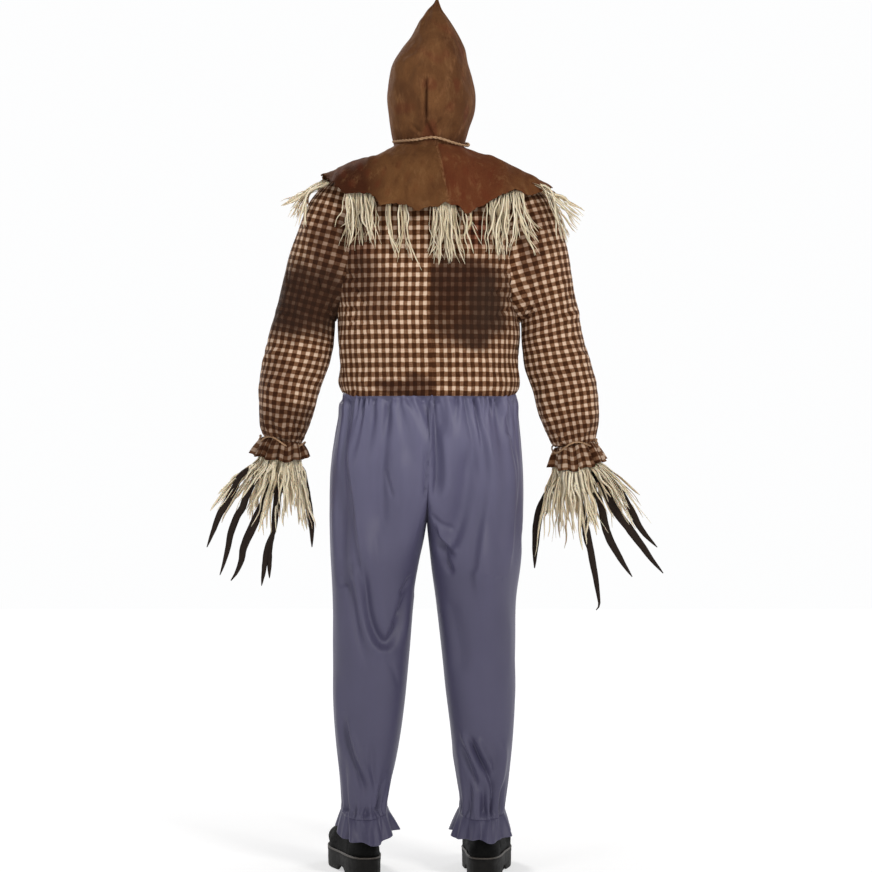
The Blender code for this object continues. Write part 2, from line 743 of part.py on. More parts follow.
def rim(grid):
    """The edges round a grid of vertices, as pairs."""
    loop = grid[0] + [row[-1] for row in grid[1:]] + grid[-1][-2::-1] + [row[0] for row in grid[-2:0:-1]]
    return list(zip(loop, loop[1:] + loop[:1]))


def eye_button(side, sign):
    """A round four-hole button, sewn flat on the mask."""
    angle = math.radians(270 + sign * 21)
    lift = MASK_LIFT + MASK_THICKNESS
    spot = head_point(angle, 1.662, lift)
    outward = Vector(
        (
            (spot.x - HEAD_CENTRE.x) / HEAD_RADII.x**2,
            (spot.y - HEAD_CENTRE.y) / HEAD_RADII.y**2,
            (spot.z - HEAD_CENTRE.z) / HEAD_RADII.z**2,
        )
    ).normalized()
    frame = axes(spot + outward * 0.0012, outward, Vector((1, 0, 0)))
    profile = ((0.0105, 0.0), (0.0115, 0.0008), (0.0115, 0.0026), (0.0100, 0.0034))
    rings = [moved(frame, oval(r, r, z)) for r, z in profile]
    button = solid(f"{side}_eye_button", rings, "button")
    for x, y in ((-1, -1), (1, -1), (1, 1), (-1, 1)):
        low, high = (frame @ Vector((x * 0.0026, y * 0.0026, z)) for z in (-0.004, 0.008))
        boolean(button, rod("thread_hole", low, high, 0.0011, sides=6), "DIFFERENCE")
    return button


# ---------------------------------------------------------------- arms


def mirrored(point, sign):
    return Vector((sign * point.x, point.y, point.z))


def arm_ring(frame, t, half_x, half_y, cut=0.0):
    """A sleeve ring across the arm; cut slants its front half along the arm, for the elbow."""
    ring = oval(half_x, half_y, t)
    for point in ring:
        point.z += cut * max(0.0, -point.y)
    return moved(frame, ring)


def upper_arm(side, sign, shoulder_joint):
    pivot, elbow = mirrored(SHOULDER, sign), mirrored(ELBOW, sign)
    frame = axes(pivot, elbow - pivot, BACK)
    length = (elbow - pivot).length
    link = rod(
        f"{side}_upper_arm_rod",
        frame @ Vector((0, 0, HINGE_REACH)),
        frame @ Vector((0, 0, length - HINGE_REACH)),
        ARM_ROD_RADIUS,
    )
    add_tongue(link, frame)
    elbow_frame = elbow_axes(elbow, frame, toward_hand=False)
    add_fork(link, elbow_frame)

    end = length - ELBOW_GAP
    stations = [(SLEEVE_START, 0.055, 0.058), (0.070, 0.056, 0.061), (0.130, 0.058, 0.063), (0.185, 0.061, 0.063)]
    outer = [arm_ring(frame, t, a, b) for t, a, b in stations]
    outer.append(arm_ring(frame, end, 0.062, 0.062, -ELBOW_MITRE))
    inner = [arm_ring(frame, t, SLEEVE_BORE, SLEEVE_BORE) for t in (SLEEVE_START, 0.185)]
    inner.append(arm_ring(frame, end, SLEEVE_BORE, SLEEVE_BORE, -ELBOW_MITRE))
    sleeve = shell(f"{side}_upper_sleeve", outer, inner, "gingham")
    elbow_bolt = pivot_bolt(f"{side}_elbow_bolt", elbow_frame)
    attach(shoulder_joint, link, sleeve, elbow_bolt)
    pivot_bolt(f"{side}_shoulder_bolt", frame)


def elbow_axes(elbow, arm_frame, toward_hand):
    """A frame at the elbow with its Y along the hinge, across the arm, and its Z along one link."""
    hinge = arm_frame.col[0].to_3d()
    along = arm_frame.col[2].to_3d()
    return axes(elbow, along if toward_hand else -along, hinge)


def forearm(side, sign, elbow_joint):
    elbow, wrist = mirrored(ELBOW, sign), mirrored(WRIST, sign)
    frame = axes(elbow, wrist - elbow, BACK)
    upper_frame = axes(mirrored(SHOULDER, sign), elbow - mirrored(SHOULDER, sign), BACK)
    length = (wrist - elbow).length
    link = rod(
        f"{side}_forearm_rod",
        frame @ Vector((0, 0, HINGE_REACH)),
        frame @ Vector((0, 0, length + 0.030)),
        ARM_ROD_RADIUS * 0.8,
    )
    add_tongue(link, elbow_axes(elbow, upper_frame, toward_hand=True))

    outer = [arm_ring(frame, ELBOW_GAP, 0.062, 0.062, ELBOW_MITRE)]
    stations = [(0.080, 0.061, 0.062), (0.130, 0.056, 0.057), (0.185, 0.047, 0.048), (0.222, 0.0395, 0.0395)]
    stations += [(0.236, 0.043, 0.043), (0.276, 0.059, 0.059)]
    outer += [arm_ring(frame, t, a, b) for t, a, b in stations]
    inner = [arm_ring(frame, ELBOW_GAP, SLEEVE_BORE, SLEEVE_BORE, ELBOW_MITRE)]
    bore = [(0.080, SLEEVE_BORE), (0.228, SLEEVE_BORE), (0.240, 0.036), (0.276, 0.054)]
    inner += [arm_ring(frame, t, r, r) for t, r in bore]
    sleeve = shell(f"{side}_lower_sleeve", outer, inner, "gingham")

    ring = []
    for i in range(24):
        angle = 2 * math.pi * i / 24
        radius = 0.0395 + WRIST_CORD_RADIUS + 0.0022
        wave = 0.0040 * math.sin(2 * angle + 0.6)
        ring.append(frame @ Vector((radius * math.cos(angle), radius * math.sin(angle), 0.2215 + wave)))
    cord = cord_ring(f"{side}_wrist_cord", ring, WRIST_CORD_RADIUS, "cord")
    attach(elbow_joint, link, sleeve, cord)
    return frame, length


def palm(side, sign, frame, length):
    """A stuffed palm on the end of the forearm rod, which it swivels round."""
    bm = bmesh.new()
    ys = (-PALM_HALF_THICKNESS, PALM_HALF_THICKNESS)
    add_loft(bm, [[Vector((sign * x, y, z)) for x, z in PALM_OUTLINE] for y in ys])
    hand = finish(f"{side}_palm", bm, "claw_cloth")
    start = frame @ Vector((0, 0, length - 0.02))
    end = frame @ Vector((0, 0, length + 0.032))
    boolean(hand, rod("socket", start, end, ARM_ROD_RADIUS * 0.8 + CLEARANCE), "DIFFERENCE")
    return hand


def wrist_raffia(side, frame, length):
    """The bound top of the raffia round the glove, longer over the back of the hand."""
    start = length + 0.016
    rings = {0.0: [], 0.004: []}
    for thick, made in rings.items():
        for share in (0.0, 0.5, 1.0):
            ring = []
            for i in range(RING_POINTS):
                angle = 2 * math.pi * i / RING_POINTS
                dorsal = max(0.0, -math.sin(angle)) ** 2
                reach = (0.020 + 0.095 * dorsal) * share
                radius = 0.0385 + 0.26 * reach + thick
                ring.append(frame @ Vector((radius * math.cos(angle), radius * math.sin(angle), start + reach)))
            made.append(ring)
    return shell(f"{side}_wrist_raffia", rings[0.004], rings[0.0], "raffia")


def claw(name, points, sign, root_radius):
    """A long tapering claw along a curve in the frontal plane, with a rounded root."""
    line = smooth_route([Vector((sign * x, 0, z)) for x, z in points], 9)
    rings = []
    first = (line[1] - line[0]).normalized()
    for back, scale in ((0.85, 0.5), (0.5, 0.86)):
        frame = axes(line[0] - first * root_radius * back, first, BACK)
        rings.append(moved(frame, oval(root_radius * scale, root_radius * scale, 0, count=CLAW_SIDES)))
    for i, point in enumerate(line):
        ahead = line[min(i + 1, len(line) - 1)] - line[max(i - 1, 0)]
        share = i / (len(line) - 1)
        radius = root_radius * (1 - 0.12 * share - 0.72 * max(0.0, share - 0.45) / 0.55)
        rings.append(moved(axes(point, ahead, BACK), oval(radius, radius * 0.75, 0, count=CLAW_SIDES)))
    return solid(name, rings, "claw_cloth")


def hand(side, sign, elbow_joint, frame, length):
    along = frame.col[2].to_3d()
    wrist = frame @ Vector((0, 0, length))
    wrist_joint = joint(f"{side}_wrist_turn", wrist, along, elbow_joint)
    attach(wrist_joint, palm(side, sign, frame, length), wrist_raffia(side, frame, length))
    for finger, points in CLAWS[side].items():
        name = f"{side}_{finger}_claw"
        piece = claw(name, points, sign, CLAW_RADIUS)
        if (side, finger) == ("left", "index"):
            boolean(piece, claw("twig", TWIG_FORK, sign, CLAW_RADIUS * 0.62), "UNION")
        root, second = (Vector((sign * x, 0, z)) for x, z in points[:2])
        knuckle = joint(f"{side}_{finger}_curl", root, (second - root).cross(BACK), wrist_joint)
        attach(knuckle, piece)


def arm(side, sign):
    pivot, elbow = mirrored(SHOULDER, sign), mirrored(ELBOW, sign)
    shoulder_joint = joint(f"{side}_shoulder_raise", pivot, -sign * BACK)
    upper_frame = axes(pivot, elbow - pivot, BACK)
    elbow_joint = joint(f"{side}_elbow_bend", elbow, upper_frame.col[0].to_3d(), shoulder_joint)
    upper_arm(side, sign, shoulder_joint)
    frame, length = forearm(side, sign, elbow_joint)
    hand(side, sign, elbow_joint, frame, length)


def finishes():
    material("steel", (0.42, 0.43, 0.45), 0.38, 1.0)
    material("zinc", (0.66, 0.66, 0.64), 0.30, 1.0)
    material("bush_plastic", (0.82, 0.81, 0.77), 0.45)
    material("stuffing", (0.83, 0.80, 0.72), 0.95)
    material("gingham", (0.36, 0.23, 0.15), 0.85)
    material("trouser_cloth", (0.125, 0.118, 0.20), 0.60)
    material("sackcloth", (0.16, 0.078, 0.036), 0.92)
    material("mask_cloth", (0.36, 0.24, 0.13), 0.92)
    material("raffia", (0.80, 0.71, 0.50), 0.65)
    material("cord", (0.42, 0.29, 0.18), 0.90)
    material("claw_cloth", (0.022, 0.013, 0.009), 0.80)
    material("boot_leather", (0.010, 0.010, 0.010), 0.45)
    material("sole_rubber", (0.013, 0.012, 0.011), 0.60)
    material("button", (0.030, 0.018, 0.012), 0.30)


def main():
    for obj in list(bpy.data.objects):
        bpy.data.objects.remove(obj)
    finishes()
    hip_yoke()
    spine_tube()
    shoulder_bar()
    for side, sign in SIDES.items():
        boots(side, sign)
        leg_tube(side, sign)
    trousers()
    shirt()
    cape()
    fringe()
    neck_cord()
    head()
    for side, sign in SIDES.items():
        arm(side, sign)


main()
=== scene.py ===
"""The scarecrow figure's looks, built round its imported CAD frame.

Everything is in metres in the CAD's own frame: the figure faces -Y and its left is +X. Clothes are grids of
points worked out from a few outlines, with gathers, creases and drape added along their normals. Raffia is made
of single strands. The camera looks along -Y, at the figure's back.
"""

import json
import math
import random

import bpy
import numpy as np
from mathutils import Matrix, Vector

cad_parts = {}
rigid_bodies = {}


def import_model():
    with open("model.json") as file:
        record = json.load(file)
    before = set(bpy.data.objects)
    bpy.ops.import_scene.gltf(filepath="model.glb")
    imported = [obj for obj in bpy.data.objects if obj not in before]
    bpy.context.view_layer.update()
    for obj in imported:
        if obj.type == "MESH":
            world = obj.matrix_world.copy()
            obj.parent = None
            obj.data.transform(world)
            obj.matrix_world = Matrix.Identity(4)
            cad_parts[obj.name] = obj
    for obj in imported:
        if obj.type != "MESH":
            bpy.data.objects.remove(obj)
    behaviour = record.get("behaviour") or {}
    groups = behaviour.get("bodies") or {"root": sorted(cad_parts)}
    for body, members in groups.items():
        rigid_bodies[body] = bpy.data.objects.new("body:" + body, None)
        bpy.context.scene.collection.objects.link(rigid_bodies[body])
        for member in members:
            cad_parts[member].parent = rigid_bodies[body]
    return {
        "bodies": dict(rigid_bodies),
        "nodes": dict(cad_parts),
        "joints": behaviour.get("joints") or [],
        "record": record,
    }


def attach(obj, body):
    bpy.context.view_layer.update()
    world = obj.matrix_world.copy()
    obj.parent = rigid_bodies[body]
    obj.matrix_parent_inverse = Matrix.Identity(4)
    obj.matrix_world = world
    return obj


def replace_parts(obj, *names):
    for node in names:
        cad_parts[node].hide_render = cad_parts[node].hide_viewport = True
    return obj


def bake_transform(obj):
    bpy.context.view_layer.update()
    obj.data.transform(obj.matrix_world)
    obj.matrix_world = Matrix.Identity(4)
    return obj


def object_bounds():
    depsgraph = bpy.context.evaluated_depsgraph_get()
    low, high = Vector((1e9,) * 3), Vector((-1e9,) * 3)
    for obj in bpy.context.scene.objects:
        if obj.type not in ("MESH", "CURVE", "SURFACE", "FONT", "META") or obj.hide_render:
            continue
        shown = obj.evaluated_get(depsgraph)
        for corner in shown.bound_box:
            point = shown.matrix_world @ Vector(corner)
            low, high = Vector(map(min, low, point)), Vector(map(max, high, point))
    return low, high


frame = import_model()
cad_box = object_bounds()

TAU = 2 * math.pi
SIDES = {"left": 1, "right": -1}
FLOOR = float(cad_box[0][2])
# How thick each single layer of cloth is.
THICKNESS = {"cuff": 0.0012, "ankle": 0.0014, "hood": 0.0022, "mask": 0.0020, "cape": 0.0024}


def srgb(red, green, blue):
    """A linear colour from 0 to 255 display values."""
    def linear(value):
        value /= 255
        return value / 12.92 if value <= 0.04045 else ((value + 0.055) / 1.055) ** 2.4

    return (linear(red), linear(green), linear(blue), 1.0)


# ---------------------------------------------------------------- numbers and shapes


def ease(x):
    x = np.clip(x, 0, 1)
    return x * x * (3 - 2 * x)


def profile(rows, at):
    """Smooth values at the stations at, from rows of (station, value, ...)."""
    rows = np.array(sorted(rows), float)
    stations, values = rows[:, 0], rows[:, 1:]
    slopes = np.gradient(values, stations, axis=0)
    at = np.asarray(at, float)
    i = np.clip(np.searchsorted(stations, at, side="right") - 1, 0, len(stations) - 2)
    gap = stations[i + 1] - stations[i]
    t = (np.clip((at - stations[i]) / gap, 0, 1))[..., None]
    gap = gap[..., None]
    low = (2 * t**3 - 3 * t**2 + 1) * values[i] + (t**3 - 2 * t**2 + t) * gap * slopes[i]
    high = (3 * t**2 - 2 * t**3) * values[i + 1] + (t**3 - t**2) * gap * slopes[i + 1]
    return np.moveaxis(low + high, -1, 0)


def superellipse(half_x, half_y, power, turns):
    """x and y of evenly spaced points on a superellipse, starting at turn 0 = +x, as rows for each half_x."""
    fine = np.linspace(0, TAU, 721)
    c, s = np.cos(fine), np.sin(fine)
    x = np.sign(c) * np.abs(c) ** (2 / power) * half_x[:, None]
    y = np.sign(s) * np.abs(s) ** (2 / power) * half_y[:, None]
    steps = np.hypot(np.diff(x, axis=1), np.diff(y, axis=1))
    along = np.concatenate([np.zeros((len(x), 1)), np.cumsum(steps, axis=1)], axis=1)
    out_x, out_y = np.empty((len(x), len(turns))), np.empty((len(x), len(turns)))
    for k in range(len(x)):
        at = np.mod(turns, 1) * along[k, -1]
        out_x[k] = np.interp(at, along[k], x[k])
        out_y[k] = np.interp(at, along[k], y[k])
    return out_x, out_y


def waves(rng, a, b, size, count=7):
    """Soft irregular relief between about -1 and 1 over two coordinates, with bumps of about the given size."""
    total = np.zeros(np.broadcast(a, b).shape)
    for _ in range(count):
        turn = rng.uniform(0, TAU)
        pitch = TAU / (size * rng.uniform(0.7, 1.6))
        total += np.sin((a * math.cos(turn) + b * math.sin(turn)) * pitch + rng.uniform(0, TAU))
    return total / math.sqrt(count)


def gathers(rng, along, drop, span, count, depth, width, reach, lean=None):
    """Pleats that fall from a gathered line. along runs round it, span in all, and drop is the distance from it."""
    total = np.zeros(np.broadcast(along, drop).shape)
    for i in range(count):
        centre = (i + rng.uniform(-0.4, 0.4)) * span / count
        deep = depth * rng.uniform(0.4, 1.5)
        wide = width * rng.uniform(0.6, 1.6)
        far = reach * rng.uniform(0.35, 1.7)
        slant = rng.uniform(-0.10, 0.10)
        if lean:
            slant += lean(centre if centre < span / 2 else centre - span)
        off = np.mod(along - centre - slant * drop + span / 2, span) - span / 2
        total -= deep * np.exp(-((off / (wide * (1 + 1.4 * drop / far))) ** 2)) * np.exp(-((drop / far) ** 2))
    return total


def crease(x, z, start, end, width, depth):
    """A groove, or a ridge where depth is positive, along the line from start to end in the plane of x and z."""
    dx, dz = end[0] - start[0], end[1] - start[1]
    length = math.hypot(dx, dz)
    t = ((x - start[0]) * dx + (z - start[1]) * dz) / length**2
    off = ((x - start[0]) * dz - (z - start[1]) * dx) / length
    fade = ease(t / 0.25) * ease((1 - t) / 0.35)
    return depth * fade * np.exp(-((off / width) ** 2))


def fold(x, z, path, plus, minus, depth):
    """A ridge, or a groove where depth is negative, along a curved path. A path that runs down falls off over plus on
    its +x side and over minus on the other, so that a fold can have one steep side."""
    line = smooth_path([(a, 0, b) for a, b in path], 6 * len(path))[:, ::2]
    nearest = np.full(x.shape, 9.0)
    side, share = np.zeros(x.shape), np.zeros(x.shape)
    for k, (start, end) in enumerate(zip(line[:-1], line[1:])):
        dx, dz = end - start
        long = dx * dx + dz * dz
        t = np.clip(((x - start[0]) * dx + (z - start[1]) * dz) / long, 0, 1)
        ox, oz = x - start[0] - t * dx, z - start[1] - t * dz
        far = ox * ox + oz * oz
        closer = far < nearest
        nearest = np.where(closer, far, nearest)
        side = np.where(closer, dx * (z - start[1]) - dz * (x - start[0]), side)
        share = np.where(closer, (k + t) / (len(line) - 1), share)
    width = np.where(side > 0, plus, minus)
    return depth * ease(share / 0.25) * ease((1 - share) / 0.28) * np.exp(-nearest / width**2)


def grid_normals(points, closed):
    if closed:
        across = np.roll(points, -1, axis=1) - np.roll(points, 1, axis=1)
    else:
        across = np.gradient(points, axis=1)
    normal = np.cross(across, np.gradient(points, axis=0))
    size = np.linalg.norm(normal, axis=2, keepdims=True)
    return normal / np.maximum(size, 1e-12)


def smooth_path(points, count):
    """Evenly spaced points on a Catmull-Rom curve through a route's own points."""
    route = [Vector(p) for p in points]
    padded = [2 * route[0] - route[1], *route, 2 * route[-1] - route[-2]]
    fine = []
    for a, b, c, d in zip(padded, padded[1:], padded[2:], padded[3:]):
        for step in range(16):
            t = step / 16
            fine.append(
                0.5 * (2 * b + (c - a) * t + (2 * a - 5 * b + 4 * c - d) * t**2 + (3 * b - a - 3 * c + d) * t**3)
            )
    fine.append(route[-1])
    fine = np.array(fine)
    along = np.concatenate([[0], np.cumsum(np.linalg.norm(np.diff(fine, axis=0), axis=1))])
    at = np.linspace(0, along[-1], count)
    return np.stack([np.interp(at, along, fine[:, k]) for k in range(3)], axis=1)


# ---------------------------------------------------------------- meshes


def make_mesh(name, vertices, faces, uv=None, tint=None, smooth=True):
    """uv holds one pair for each face corner, and tint one colour for each vertex."""
    mesh = bpy.data.meshes.new(name)
    mesh.from_pydata(vertices, [], faces)
    if uv is not None:
        layer = mesh.uv_layers.new(name="cloth")
        layer.data.foreach_set("uv", np.asarray(uv, np.float32).ravel())
    if tint is not None:
        layer = mesh.color_attributes.new("tint", "FLOAT_COLOR", "POINT")
        layer.data.foreach_set("color", np.asarray(tint, np.float32).ravel())
    if smooth:
        mesh.shade_smooth()
    obj = bpy.data.objects.new(name, mesh)
    bpy.context.scene.collection.objects.link(obj)
    return obj


def sheet_mesh(name, points, uv=None, tint=None, closed=True, flip=False, thickness=0.0, caps=()):
    """A grid of points as a surface. uv has a column more than points where the grid is closed."""
    rows, columns = points.shape[:2]
    last = columns if closed else columns - 1
    v, u = np.meshgrid(np.arange(rows - 1), np.arange(last), indexing="ij")
    nxt = (u + 1) % columns
    corners = [(v, u), (v, nxt), (v + 1, nxt), (v + 1, u)]
    uv_corners = [(v, u), (v, u + 1), (v + 1, u + 1), (v + 1, u)]
    if flip:
        corners, uv_corners = corners[::-1], uv_corners[::-1]
    faces = np.stack([a * columns + b for a, b in corners], axis=-1).reshape(-1, 4).tolist()
    if uv is not None:
        uv = np.stack([uv[a, b] for a, b in uv_corners], axis=-2).reshape(-1, 2)
    for end in caps:
        loop = [end % rows * columns + k for k in range(columns)]
        faces.append(loop)
        if uv is not None:
            uv = np.concatenate([uv, np.zeros((columns, 2))])
    if tint is not None:
        tint = tint.reshape(-1, 4)
    obj = make_mesh(name, points.reshape(-1, 3), faces, uv, tint)
    if thickness:
        thicken(obj, thickness)
    return obj


def thicken(obj, thickness, offset=-1.0):
    solid = obj.modifiers.new("Thickness", "SOLIDIFY")
    solid.thickness = thickness
    solid.offset = offset
    solid.use_rim = True


def tube_parts(path, radius, sides=8, closed=False, phase=0.0, start=0):
    """Vertices and faces of a tube along a path. radius is a number or one for each point."""
    path = np.asarray(path, float)
    count = len(path)
    if closed:
        ahead = np.roll(path, -1, axis=0) - np.roll(path, 1, axis=0)
    else:
        ahead = np.gradient(path, axis=0)
    ahead /= np.linalg.norm(ahead, axis=1, keepdims=True)
    side = np.cross(ahead[0], [0.31, 0.17, 0.93])
    side /= np.linalg.norm(side)
    radii = np.broadcast_to(np.asarray(radius, float), (count,))
    vertices = []
    for k in range(count):
        side = side - ahead[k] * (side @ ahead[k])
        side /= np.linalg.norm(side)
        other = np.cross(ahead[k], side)
        for j in range(sides):
            turn = TAU * j / sides + phase
            vertices.append(path[k] + radii[k] * (math.cos(turn) * side + math.sin(turn) * other))
    faces = []
    for k in range(count if closed else count - 1):
        low, high = k * sides, (k + 1) % count * sides
        for j in range(sides):
            n = (j + 1) % sides
            faces.append((start + low + j, start + low + n, start + high + n, start + high + j))
    if not closed:
        faces.append(tuple(start + j for j in range(sides))[::-1])
        faces.append(tuple(start + (count - 1) * sides + j for j in range(sides)))
    return vertices, faces


def tubes(name, paths, radius, sides=8, closed=False):
    vertices, faces = [], []
    for path in paths:
        more, made = tube_parts(path, radius, sides, closed, start=len(vertices))
        vertices += more
        faces += made
    return make_mesh(name, vertices, faces)


def rope(name, path, diameter, closed=False, lay=3.2, plies=2, sides=7):
    """A twisted cord: plies wound round the path, lay diameters to a turn."""
    path = np.asarray(path, float)
    steps = np.linalg.norm(np.diff(path, axis=0), axis=1)
    length = steps.sum() + (np.linalg.norm(path[0] - path[-1]) if closed else 0)
    count = max(12, int(length / (diameter * 0.42)))
    loop = np.vstack([path, path[:1]]) if closed else path
    along = np.concatenate([[0], np.cumsum(np.linalg.norm(np.diff(loop, axis=0), axis=1))])
    at = np.linspace(0, along[-1], count, endpoint=not closed)
    fine = np.stack([np.interp(at, along, loop[:, k]) for k in range(3)], axis=1)
    for _ in range(2):
        if closed:
            fine = (np.roll(fine, 1, 0) + 2 * fine + np.roll(fine, -1, 0)) / 4
        else:
            fine[1:-1] = (fine[:-2] + 2 * fine[1:-1] + fine[2:]) / 4
    ahead = (np.roll(fine, -1, 0) - np.roll(fine, 1, 0)) if closed else np.gradient(fine, axis=0)
    ahead /= np.linalg.norm(ahead, axis=1, keepdims=True)
    side = np.cross(ahead[0], [0.2, 0.3, 0.93])
    turns = max(1, round(along[-1] / (lay * diameter)))
    ply_radius = diameter * 0.27
    vertices, faces = [], []
    sides_at, others = [], []
    for k in range(count):
        side = side - ahead[k] * (side @ ahead[k])
        side = side / np.linalg.norm(side)
        sides_at.append(side)
        others.append(np.cross(ahead[k], side))
    for ply in range(plies):
        turn = TAU * (ply / plies + turns * at / along[-1])
        offset = np.cos(turn)[:, None] * np.array(sides_at) + np.sin(turn)[:, None] * np.array(others)
        more, made = tube_parts(fine + offset * diameter * 0.235, ply_radius, sides, closed, start=len(vertices))
        vertices += more
        faces += made
    return make_mesh(name, vertices, faces)


# ---------------------------------------------------------------- materials


def node(tree, kind, inputs=(), **settings):
    """Adds a node. inputs maps a socket's name or index to a value or to another node's output."""
    made = tree.nodes.new(kind)
    for key, value in settings.items():
        setattr(made, key, value)
    for key, value in dict(inputs).items():
        if isinstance(value, bpy.types.NodeSocket):
            tree.links.new(value, made.inputs[key])
        else:
            made.inputs[key].default_value = value
    return made


def new_material(name, roughness, metallic=0.0, sheen=0.0, sheen_tint=None, specular=0.5):
    made = bpy.data.materials.new(name)
    made.use_nodes = True
    tree = made.node_tree
    shader = tree.nodes["Principled BSDF"]
    shader.inputs["Roughness"].default_value = roughness
    shader.inputs["Metallic"].default_value = metallic
    shader.inputs["Specular IOR Level"].default_value = specular
    shader.inputs["Sheen Weight"].default_value = sheen
    if sheen:
        shader.inputs["Sheen Roughness"].default_value = 0.45
        shader.inputs["Sheen Tint"].default_value = sheen_tint or (1, 1, 1, 1)
    return made, tree, shader


def maths(tree, operation, a, b=0.0, clamp=False):
    return node(tree, "ShaderNodeMath", {0: a, 1: b}, operation=operation, use_clamp=clamp).outputs[0]


def half_up(tree, value):
    """Takes -1 to 1 onto 0 to 1."""
    return node(tree, "ShaderNodeMath", {0: value, 1: 0.5, 2: 0.5}, operation="MULTIPLY_ADD").outputs[0]


def spread(tree, value, low, high, to_low=0.0, to_high=1.0):
    inputs = {"Value": value, "From Min": low, "From Max": high, "To Min": to_low, "To Max": to_high}
    return node(tree, "ShaderNodeMapRange", inputs).outputs["Result"]


def mix(tree, factor, a, b, blend="MIX"):
    made = node(tree, "ShaderNodeMix", data_type="RGBA", blend_type=blend)
    for index, value in ((0, factor), (6, a), (7, b)):
        if isinstance(value, bpy.types.NodeSocket):
            tree.links.new(value, made.inputs[index])
        else:
            made.inputs[index].default_value = value
    return made.outputs[2]


def noise(tree, vector, scale, detail=3.0, roughness=0.55):
    inputs = {"Vector": vector, "Scale": scale, "Detail": detail, "Roughness": roughness}
    return node(tree, "ShaderNodeTexNoise", inputs).outputs["Fac"]


def stretched(tree, vector, scale):
    return node(tree, "ShaderNodeMapping", {"Vector": vector, "Scale": scale}).outputs["Vector"]


def object_place(tree):
    return node(tree, "ShaderNodeTexCoord").outputs["Object"]


def cloth_place(tree):
    return node(tree, "ShaderNodeUVMap", uv_map="cloth").outputs["UV"]


def tint_channels(tree):
    colour = node(tree, "ShaderNodeAttribute", attribute_name="tint").outputs["Color"]
    return node(tree, "ShaderNodeSeparateColor", {"Color": colour}).outputs


def weave(tree, place, pitch):
    """The height of a plain weave of the given pitch, from 0 to 1, with threads over and under each other."""
    parts = node(tree, "ShaderNodeSeparateXYZ", {"Vector": place}).outputs
    waves_made = []
    for part in parts[:2]:
        angle = maths(tree, "MULTIPLY", part, TAU / pitch)
        waves_made.append(maths(tree, "SINE", angle))
    return half_up(tree, maths(tree, "MULTIPLY", waves_made[0], waves_made[1]))


def add_bump(tree, shader, height, strength, distance):
    bump = node(tree, "ShaderNodeBump", {"Height": height, "Strength": strength, "Distance": distance})
    tree.links.new(bump.outputs["Normal"], shader.inputs["Normal"])


def colour_ramp(tree, factor, stops):
    made = node(tree, "ShaderNodeValToRGB", {"Fac": factor})
    ramp = made.color_ramp
    ramp.elements[0].position, ramp.elements[0].color = stops[0]
    ramp.elements[1].position, ramp.elements[1].color = stops[-1]
    for position, colour in stops[1:-1]:
        ramp.elements.new(position).color = colour
    return made.outputs["Color"]


GINGHAM_PITCH = 0.0180


def gingham_material():
    """A yarn-dyed check of brown and cream. tint holds smoke stain, red-brown stain and fading."""
    made, tree, shader = new_material(
        "gingham_cloth", 0.88, sheen=0.03, sheen_tint=srgb(230, 200, 175), specular=0.12
    )
    place = cloth_place(tree)
    wobble = node(tree, "ShaderNodeTexNoise", {"Vector": place, "Scale": 90.0, "Detail": 2.0}).outputs["Color"]
    shift = node(tree, "ShaderNodeVectorMath", {0: wobble, 1: (0.5, 0.5, 0.5)}, operation="SUBTRACT").outputs[0]
    shift = node(tree, "ShaderNodeVectorMath", {0: shift, 3: 0.0022}, operation="SCALE").outputs[0]
    moved = node(tree, "ShaderNodeVectorMath", {0: place, 1: shift}, operation="ADD").outputs[0]
    parts = node(tree, "ShaderNodeSeparateXYZ", {"Vector": moved}).outputs
    bands = []
    for part in parts[:2]:
        wave = maths(tree, "SINE", maths(tree, "MULTIPLY", part, TAU / GINGHAM_PITCH))
        bands.append(spread(tree, wave, -0.44, 0.10))
    both = maths(tree, "MULTIPLY", maths(tree, "ADD", bands[0], bands[1]), 0.5)
    streak_x = noise(tree, stretched(tree, place, (900, 60, 1)), 1.0, 2.0)
    streak_y = noise(tree, stretched(tree, place, (60, 900, 1)), 1.0, 2.0)
    yarn = maths(
        tree, "ADD", spread(tree, streak_x, 0.3, 0.7, -0.10, 0.10), spread(tree, streak_y, 0.3, 0.7, -0.10, 0.10)
    )
    level = maths(tree, "ADD", both, yarn, clamp=True)
    stops = [
        (0.0, srgb(213, 186, 162)),
        (0.20, srgb(188, 158, 132)),
        (0.48, srgb(124, 88, 63)),
        (0.72, srgb(98, 62, 37)),
        (1.0, srgb(58, 29, 9)),
    ]
    colour = colour_ramp(tree, level, stops)
    smoke, red, fade = tint_channels(tree)[:3]
    patchy = noise(tree, place, 30.0, 4.0)
    smoke = maths(tree, "MULTIPLY", smoke, spread(tree, patchy, 0.25, 0.65, 0.86, 1.06), clamp=True)
    stained = mix(tree, 0.92, colour, srgb(112, 84, 66), "MULTIPLY")
    smoked = mix(tree, 0.55, stained, srgb(54, 30, 15))
    colour = mix(tree, smoke, colour, smoked)
    rust = mix(tree, 0.85, colour, srgb(160, 92, 66), "MULTIPLY")
    colour = mix(tree, red, colour, rust)
    colour = mix(tree, fade, colour, srgb(46, 33, 25))
    tree.links.new(colour, shader.inputs["Base Color"])
    crinkle = noise(tree, stretched(tree, place, (120, 260, 1)), 1.0, 4.0)
    height = maths(tree, "ADD", maths(tree, "MULTIPLY", weave(tree, place, 0.0011), 0.25), crinkle)
    add_bump(tree, shader, height, 0.75, 0.0020)
    return made


